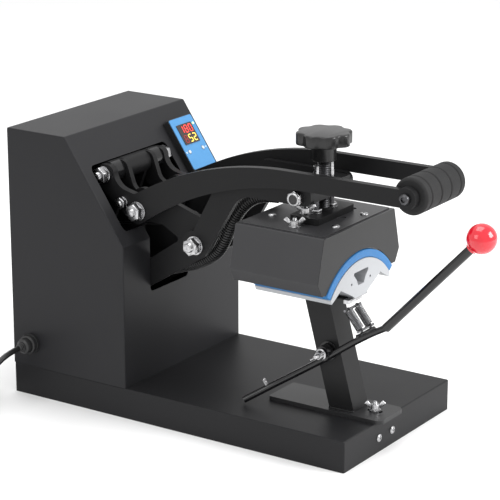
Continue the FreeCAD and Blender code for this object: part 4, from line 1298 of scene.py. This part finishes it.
@dataclass
class HeatedHead:
    """The casing, its top plate and levelling hardware, and the pressure knob and screw."""

    lobes: int = 8
    bright_from: float = 316 * MM
    yoke_stud: tuple[float, float] = (-28 * MM, -148 * MM)
    casing_stud: tuple[float, float] = (-58 * MM, -152 * MM)
    wing_turn: float = -56.0
    yoke_plate_above: float = 4 * MM
    rod_radius: float = 4 * MM

    def dress(self) -> None:
        """Finishes the head's steel."""
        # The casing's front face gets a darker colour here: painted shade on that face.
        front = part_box("head_casing")[0].y + 0.8 * MM
        PALETTE.made[Finish.CASING] = replace(Finish.CASING.value, front=front).make()
        paint_nodes({
            Finish.CASING: ["head_casing", "head_top_plate"],
            Finish.STRUCTURE: ["head_yoke"],
            Finish.ALUMINIUM: ["heater_block"],
        })

    def knob(self) -> None:
        """The star knob with rounded lobes, a flat top with a rounded rim, and a tapered boss."""
        low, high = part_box("pressure_knob")
        mid = (low + high) / 2
        radius = (high.x - low.x) / 2
        rim = 15 * MM
        mesh = bmesh.new()
        bmesh.ops.create_circle(mesh, cap_ends=True, radius=radius, segments=self.lobes * 16)
        for vert in mesh.verts:
            angle = math.atan2(vert.co.y, vert.co.x)
            scallop = (0.5 - 0.5 * math.cos(self.lobes * angle)) ** 1.6
            vert.co.xy *= 1 - 0.11 * scallop
        raised = bmesh.ops.extrude_face_region(mesh, geom=list(mesh.faces))
        upper = [v for v in raised["geom"] if isinstance(v, bmesh.types.BMVert)]
        bmesh.ops.translate(mesh, vec=(0, 0, rim), verts=upper)
        tidied(mesh)
        top = max(mesh.faces, key=lambda f: f.calc_center_median().z)
        bevel_rim = list(top.edges)
        bmesh.ops.bevel(mesh, geom=bevel_rim, offset=2.2 * MM, affect="EDGES", segments=4, profile=0.5,
                        material=-1)
        bottom = min(mesh.faces, key=lambda f: f.calc_center_median().z)
        bmesh.ops.bevel(mesh, geom=list(bottom.edges), offset=1.2 * MM, affect="EDGES", segments=2,
                        profile=0.5, material=-1)
        boss = spun([(7.6 * MM, 0), (13.6 * MM, 0), (14.4 * MM, 0.8 * MM), (15.0 * MM, 14 * MM),
                     (17.5 * MM, 20.4 * MM), (7.6 * MM, 20.4 * MM)], 48)
        parts = [moved(mesh, Matrix.Translation((mid.x, mid.y, high.z - rim))),
                 moved(boss, Matrix.Translation((mid.x, mid.y, low.z)))]
        ridden(piece("star_knob", joined(parts), Finish.KNOB, 0.7), "knob", "pressure_knob")

    def screw(self) -> None:
        """The pressure screw with its thread."""
        low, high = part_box("pressure_screw")
        mid = (low + high) / 2
        length = high.z - low.z
        radius = 7.5 * MM
        collar = 10 * MM
        profile = [(0, 0), (collar, 0), (collar, 3.4 * MM), (radius, 3.6 * MM)]
        pitch = 2.5 * MM
        rings = int((length - 24 * MM) / pitch)
        for i in range(rings):
            z = 4 * MM + pitch * i
            profile += [(radius, z + 0.35 * pitch), (radius * 0.87, z + 0.85 * pitch)]
        profile += [(radius, length - 18 * MM), (radius, length), (0, length)]
        mesh = moved(spun(profile, 32), Matrix.Translation((mid.x, mid.y, low.z)))
        screw = piece("threaded_pressure_screw", mesh, Finish.DARK_STEEL, 0.5)
        ridden(screw, "knob", "pressure_screw")

    def rods(self) -> None:
        """The bright guide rods beside the screw."""
        low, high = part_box("guide_rods")
        radius = (high.y - low.y) / 2
        y = (low.y + high.y) / 2
        plain = self.bright_from - low.z
        rods = []
        for x in (low.x + radius, high.x - radius):
            rod = spun([(0, 0), (radius, 0), (radius, plain), (radius * 0.86, plain + 0.4 * MM),
                        (radius * 0.86, high.z - low.z - 0.6 * MM), (radius * 0.7, high.z - low.z),
                        (0, high.z - low.z)], 28)
            rods.append(moved(rod, Matrix.Translation((x, y, low.z))))
        shape = piece("bright_guide_rods", joined(rods), Finish.ZINC, 0.5)
        shape.data.materials.append(PALETTE.get(Finish.DARK_STEEL))
        for face in shape.data.polygons:
            face.material_index = int(face.center.z < self.bright_from)
        ridden(shape, "head", "guide_rods")

    def fasteners(self) -> None:
        """Wing nuts, the hexagonal nut and the top plate's screws."""
        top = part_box("head_top_plate")[1].z
        low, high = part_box("top_plate_screws")
        hw = Hardware()
        heads = [moved(hw.pan_screw(), Matrix.Translation((x, y, top)))
                 for x in (low.x + 5 * MM, high.x - 5 * MM) for y in (low.y + 5 * MM, high.y - 5 * MM)]
        ridden(piece("top_plate_pan_screws", joined(heads), Finish.ZINC, 0.4), "head",
               "top_plate_screws")
        small = Hardware(bore=3 * MM)
        yoke_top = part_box("head_yoke")[1].z - self.yoke_plate_above
        centre = (low.x + high.x) / 2
        parts = []
        for (x, y), z in ((self.yoke_stud, yoke_top), (self.casing_stud, top)):
            spot = Matrix.Translation((centre + x, y, z)) @ turned("Z", math.radians(self.wing_turn))
            parts.append(moved(small.wing_nut(), spot))
            parts.append(moved(small.bolt_end(11 * MM, 1 * MM), spot))
        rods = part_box("guide_rods")
        large = Hardware(13 * MM, 4.1 * MM, 4.1 * MM)
        for x in (rods[0].x + self.rod_radius, rods[1].x - self.rod_radius):
            spot = Matrix.Translation((x, (rods[0].y + rods[1].y) / 2, yoke_top))
            parts.append(moved(large.washer(7.6 * MM, 0.8 * MM), spot))
            parts.append(moved(large.nut(), spot @ lifted(0.8 * MM) @ turned("Z", 0.4)))
        ridden(piece("head_levelling_nuts", joined(parts), Finish.ZINC, 0.5), "head",
               "levelling_nuts")

    def build(self) -> None:
        """Builds the head."""
        self.dress()
        self.knob()
        self.screw()
        self.rods()
        self.fasteners()


# ------------------------------------------------------------------ saddle, pad and post


@dataclass
class LowerSaddle:
    """The saddle with its silicone pad, on the leaning post and its slotted foot."""

    half_angle: float = 52.2
    pad_thickness: float = 9.8 * MM
    foot_nut_y: float = -230 * MM
    pivot_nut_out: float = 17 * MM

    def pad(self) -> None:
        """The silicone pad: a band with rounded edges, spun about the saddle's axis."""
        low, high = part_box("silicone_pad")
        middle_x = (low.x + high.x) / 2
        outer = (high.x - low.x) / 2 / math.sin(math.radians(self.half_angle))
        axis_z = high.z - outer
        inner = outer - self.pad_thickness
        mesh = bmesh.new()
        section = [(inner, low.y), (outer, low.y), (outer, high.y), (inner, high.y)]
        verts = [mesh.verts.new((0, y, radius)) for radius, y in section]
        face = mesh.faces.new(verts)
        whole = math.radians(2 * self.half_angle)
        start = turned("Y", -whole / 2)
        bmesh.ops.transform(mesh, matrix=start, verts=mesh.verts)
        bmesh.ops.spin(mesh, geom=[face, *face.edges, *face.verts], cent=(0, 0, 0), axis=(0, 1, 0),
                       angle=whole, steps=56, use_merge=False, use_duplicate=False)
        tidied(mesh)
        bevelled(mesh, 1.3 * MM, 3, 0.9)
        moved(mesh, Matrix.Translation((middle_x, 0, axis_z)))
        shape = piece("silicone_band", mesh, Finish.SILICONE, 0.8)
        ridden(shape, "root", "silicone_pad")

    def weld(self) -> None:
        """The weld beads along the post's foot."""
        low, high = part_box("post")
        rng = random.Random(5)
        drops = []
        for x in (low.x - 0.6 * MM, high.x + 0.6 * MM):
            for i in range(15):
                drop = bmesh.new()
                bmesh.ops.create_icosphere(drop, subdivisions=2, radius=1.0)
                size = (1.9 + 0.4 * rng.random()) * MM
                bmesh.ops.scale(drop, vec=(size, size * 1.25, size * 0.8), verts=drop.verts)
                y = low.y + 2 * MM + i * 2.15 * MM
                drops.append(moved(drop, Matrix.Translation((x, y, low.z + 0.4 * MM))))
        ridden(piece("post_weld_beads", joined(drops), Finish.POST), "root")

    def shim(self) -> None:
        """The thin dark plate between the saddle and the post."""
        low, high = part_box("saddle")
        post_low, post_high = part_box("post")
        size = (post_high.x - post_low.x + 6 * MM, 62 * MM, 1.6 * MM)
        mid = ((post_low.x + post_high.x) / 2, low.y + 1.5 * MM + size[1] / 2, low.z - size[2] / 2 - 0.05 * MM)
        ridden(piece("saddle_shim", moved(slab(size, 0.4 * MM, 2), Matrix.Translation(mid)), Finish.POST), "root")

    def clamp_hardware(self) -> None:
        """The foot's wing nut and the lever's pivot bolt with its washer and wing nut."""
        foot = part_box("post_foot")
        pivot = next(j for j in frame["joints"] if j["name"] == "clamp_lever_hinge")["pos_m"]
        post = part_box("post")
        hw = Hardware(bore=3 * MM)
        centre = (foot[0].x + foot[1].x) / 2
        spot = Matrix.Translation((centre, self.foot_nut_y, foot[1].z))
        parts = [moved(hw.washer(6.8 * MM, 0.9 * MM), spot),
                 moved(hw.wing_nut(), spot @ lifted(0.9 * MM) @ turned("Z", -0.98)),
                 moved(hw.bolt_end(12 * MM, 1 * MM), spot)]
        side = across(Vector((post[0].x, pivot[1], pivot[2])), -1)
        nut_seat = side @ lifted(self.pivot_nut_out)
        parts.append(moved(hw.wing_nut(), nut_seat @ turned("Z", 0.6)))
        parts.append(moved(hw.bolt_end(31 * MM, 1 * MM), side))
        hardware = piece("clamp_hardware", joined(parts), Finish.ZINC, 0.5)
        ridden(hardware, "root", "clamp_wing_nuts")
        washer = moved(Hardware(bore=3 * MM).washer(12 * MM, 2 * MM), side)
        ridden(piece("pivot_washer", washer, Finish.AXLE_BLACK), "root", "clamp_studs")

    def build(self) -> None:
        """Builds the saddle and post."""
        paint_nodes({Finish.ENAMEL: ["saddle"], Finish.POST: ["post"], Finish.FOOT: ["post_foot"],
                     Finish.ZINC: ["spring_anchor"]})
        self.pad()
        self.weld()
        self.shim()
        self.clamp_hardware()


@dataclass
class BallLever:
    """The cap clamp's lever with its red ball and two return springs."""

    wire: float = 0.75 * MM
    coils: int = 15

    def spring(self, x: float, top: Vector, low: Vector) -> bmesh.types.BMesh:
        """One extension spring with a loop at each end.

        Args:
            x: Its place across the machine.
            top: Its upper end in Y and Z.
            low: Its lower end in Y and Z.

        Returns:
            The spring's mesh.
        """
        start, end = Vector((x, top.y, top.z)), Vector((x, low.y, low.z))
        axis = end - start
        radius = 5.5 * MM - self.wire
        body = axis.length * 0.86
        mesh = bmesh.new()
        ring = bmesh.ops.create_circle(mesh, radius=self.wire, segments=8, cap_ends=True,
                                       matrix=Matrix.Translation((radius, 0, 0)) @ turned("X", math.pi / 2))
        geom = ring["verts"] + list(mesh.edges) + list(mesh.faces)
        bmesh.ops.spin(mesh, geom=geom, cent=(0, 0, 0), axis=(0, 0, 1), dvec=(0, 0, body / (self.coils * 16)),
                       angle=math.tau * self.coils, steps=self.coils * 16, use_merge=False, use_duplicate=False)
        parts = [moved(tidied(mesh), lifted(axis.length * 0.07))]
        for z in (axis.length * 0.035, axis.length * 0.965):
            loop = bmesh.new()
            made = bmesh.ops.create_circle(loop, radius=self.wire, segments=8,
                                           matrix=Matrix.Translation((2.9 * MM, 0, 0))
                                           @ turned("X", math.pi / 2))
            bmesh.ops.spin(loop, geom=made["verts"] + list(loop.edges), cent=(0, 0, 0), axis=(0, 0, 1),
                           angle=math.tau, steps=24, use_merge=True, use_duplicate=False)
            parts.append(moved(tidied(loop), lifted(z) @ turned("Y", math.pi / 2)))
        return moved(joined(parts), placed(start, axis))

    def springs(self) -> None:
        """Both springs, with a cross pin at each end."""
        low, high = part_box("return_springs")
        reach = 5.5 * MM
        top = Vector((0, high.y - reach * 0.78, high.z - reach * 0.62))
        bottom = Vector((0, low.y + reach * 0.78, low.z + reach * 0.62))
        coils = [self.spring(x, top, bottom) for x in (low.x + reach, high.x - reach)]
        for end in (top, bottom):
            pin = Hardware(bore=1.6 * MM).shank(high.x - low.x + 5 * MM)
            coils.append(moved(pin, placed((low.x - 2.5 * MM, end.y, end.z), (1, 0, 0))))
        springs = piece("extension_springs", joined(coils), Finish.SPRING_STEEL, 1.2)
        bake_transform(springs)
        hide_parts("return_springs")

    def tip_screw(self) -> None:
        """The bright set screw near the lever's lower tip."""
        low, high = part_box("lever_tip_screw")
        mid = (low + high) / 2
        axis = Vector((-0.35, 0.35, 1)).normalized()
        screw = Hardware(bore=2.6 * MM).bolt_end(12.4 * MM, 1 * MM)
        mesh = moved(screw, placed(mid - axis * 6.5 * MM, axis))
        ridden(piece("lever_set_screw", mesh, Finish.ZINC, 0.5), "lever", "lever_tip_screw")

    def ball(self) -> None:
        """The red ball with a moulded neck ring."""
        low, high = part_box("lever_ball")
        radius = (high.z - low.z) / 2
        mid = (low + high) / 2
        mesh = bmesh.new()
        bmesh.ops.create_uvsphere(mesh, u_segments=64, v_segments=32, radius=radius)
        neck = spun([(0, 0), (7.2 * MM, 0), (7.6 * MM, 1.2 * MM), (7.2 * MM, 2.6 * MM), (0, 2.6 * MM)], 36)
        lever_way = Vector((0, 120, -127.5)).normalized()
        parts = [moved(mesh, Matrix.Translation(mid)),
                 moved(neck, placed(mid + lever_way * (radius - 1.8 * MM), lever_way))]
        ridden(piece("red_ball_knob", joined(parts), Finish.BALL, 1.0), "lever", "lever_ball")

    def build(self) -> None:
        """Builds the lever."""
        paint_nodes({Finish.LEVER: ["lever_rod", "lever_tube"]})
        self.ball()
        self.springs()
        self.tip_screw()


@dataclass
class HeaterConduit:
    """The corrugated conduit that feeds the heater."""

    radius: float = 9.2 * MM
    groove: float = 1.3 * MM
    pitch: float = 3.2 * MM
    route: list[tuple[float, float, float]] = field(default_factory=lambda: [
        (-0.051, 0.092, 0.169), (-0.051, 0.062, 0.176), (-0.051, 0.033, 0.186), (-0.051, 0.007, 0.194),
        (-0.051, -0.017, 0.209), (-0.052, -0.031, 0.232), (-0.051, -0.040, 0.256), (-0.045, -0.057, 0.281),
        (-0.039, -0.078, 0.2905), (-0.037, -0.098, 0.2905)])

    def spine(self) -> bpy.types.Object:
        """The conduit's centreline as a smooth curve."""
        curve = bpy.data.curves.new("conduit_spine", "CURVE")
        curve.dimensions = "3D"
        spline = curve.splines.new("NURBS")
        spline.points.add(len(self.route) - 1)
        for point, spot in zip(spline.points, self.route):
            point.co = (*spot, 1.0)
        spline.order_u = 3
        spline.use_endpoint_u = True
        spline.resolution_u = 24
        spine = bpy.data.objects.new("conduit_spine", curve)
        bpy.context.collection.objects.link(spine)
        return spine

    def build(self) -> None:
        """Builds the ridged tube along its spine."""
        spine = self.spine()
        length = spine.data.splines[0].calc_length()
        ridges = int(length / self.pitch)
        step = length / ridges
        profile = [(0, 0)]
        for i in range(ridges):
            z = i * step
            profile += [(self.radius - self.groove, z), (self.radius, z + 0.28 * step),
                        (self.radius, z + 0.62 * step), (self.radius - self.groove, z + 0.86 * step)]
        profile += [(self.radius - self.groove, length), (0, length)]
        tube = moved(spun(profile, 28), placed((0, 0, 0), (1, 0, 0)))
        shape = piece("corrugated_conduit", tube, Finish.CONDUIT, 0.8)
        bend = shape.modifiers.new("bend", "CURVE")
        bend.object = spine
        bend.deform_axis = "POS_X"
        graph = bpy.context.evaluated_depsgraph_get()
        bent = bpy.data.meshes.new_from_object(shape.evaluated_get(graph))
        shape.modifiers.clear()
        shape.data = bent
        bpy.data.objects.remove(spine)
        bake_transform(shape)
        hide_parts("conduit")
        LOG.info("conduit of %d ridges", ridges)


# ------------------------------------------------------------------ the whole press


def main() -> None:
    """Builds the camera, the lead and every sub-assembly in order."""
    logging.basicConfig(level=logging.INFO, format="%(message)s")
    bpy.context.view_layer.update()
    studio = Studio()
    studio.shoot_from()
    MainsLead().build()
    makers: list[Callable[[], None]] = [studio.light, studio.floor, Cabinet().build, ControlPanel().build,
                                        Linkage().build, Grip().build, HeatedHead().build, LowerSaddle().build,
                                        BallLever().build, HeaterConduit().build]
    for make in makers:
        make()


if __name__ == "__main__":
    main()
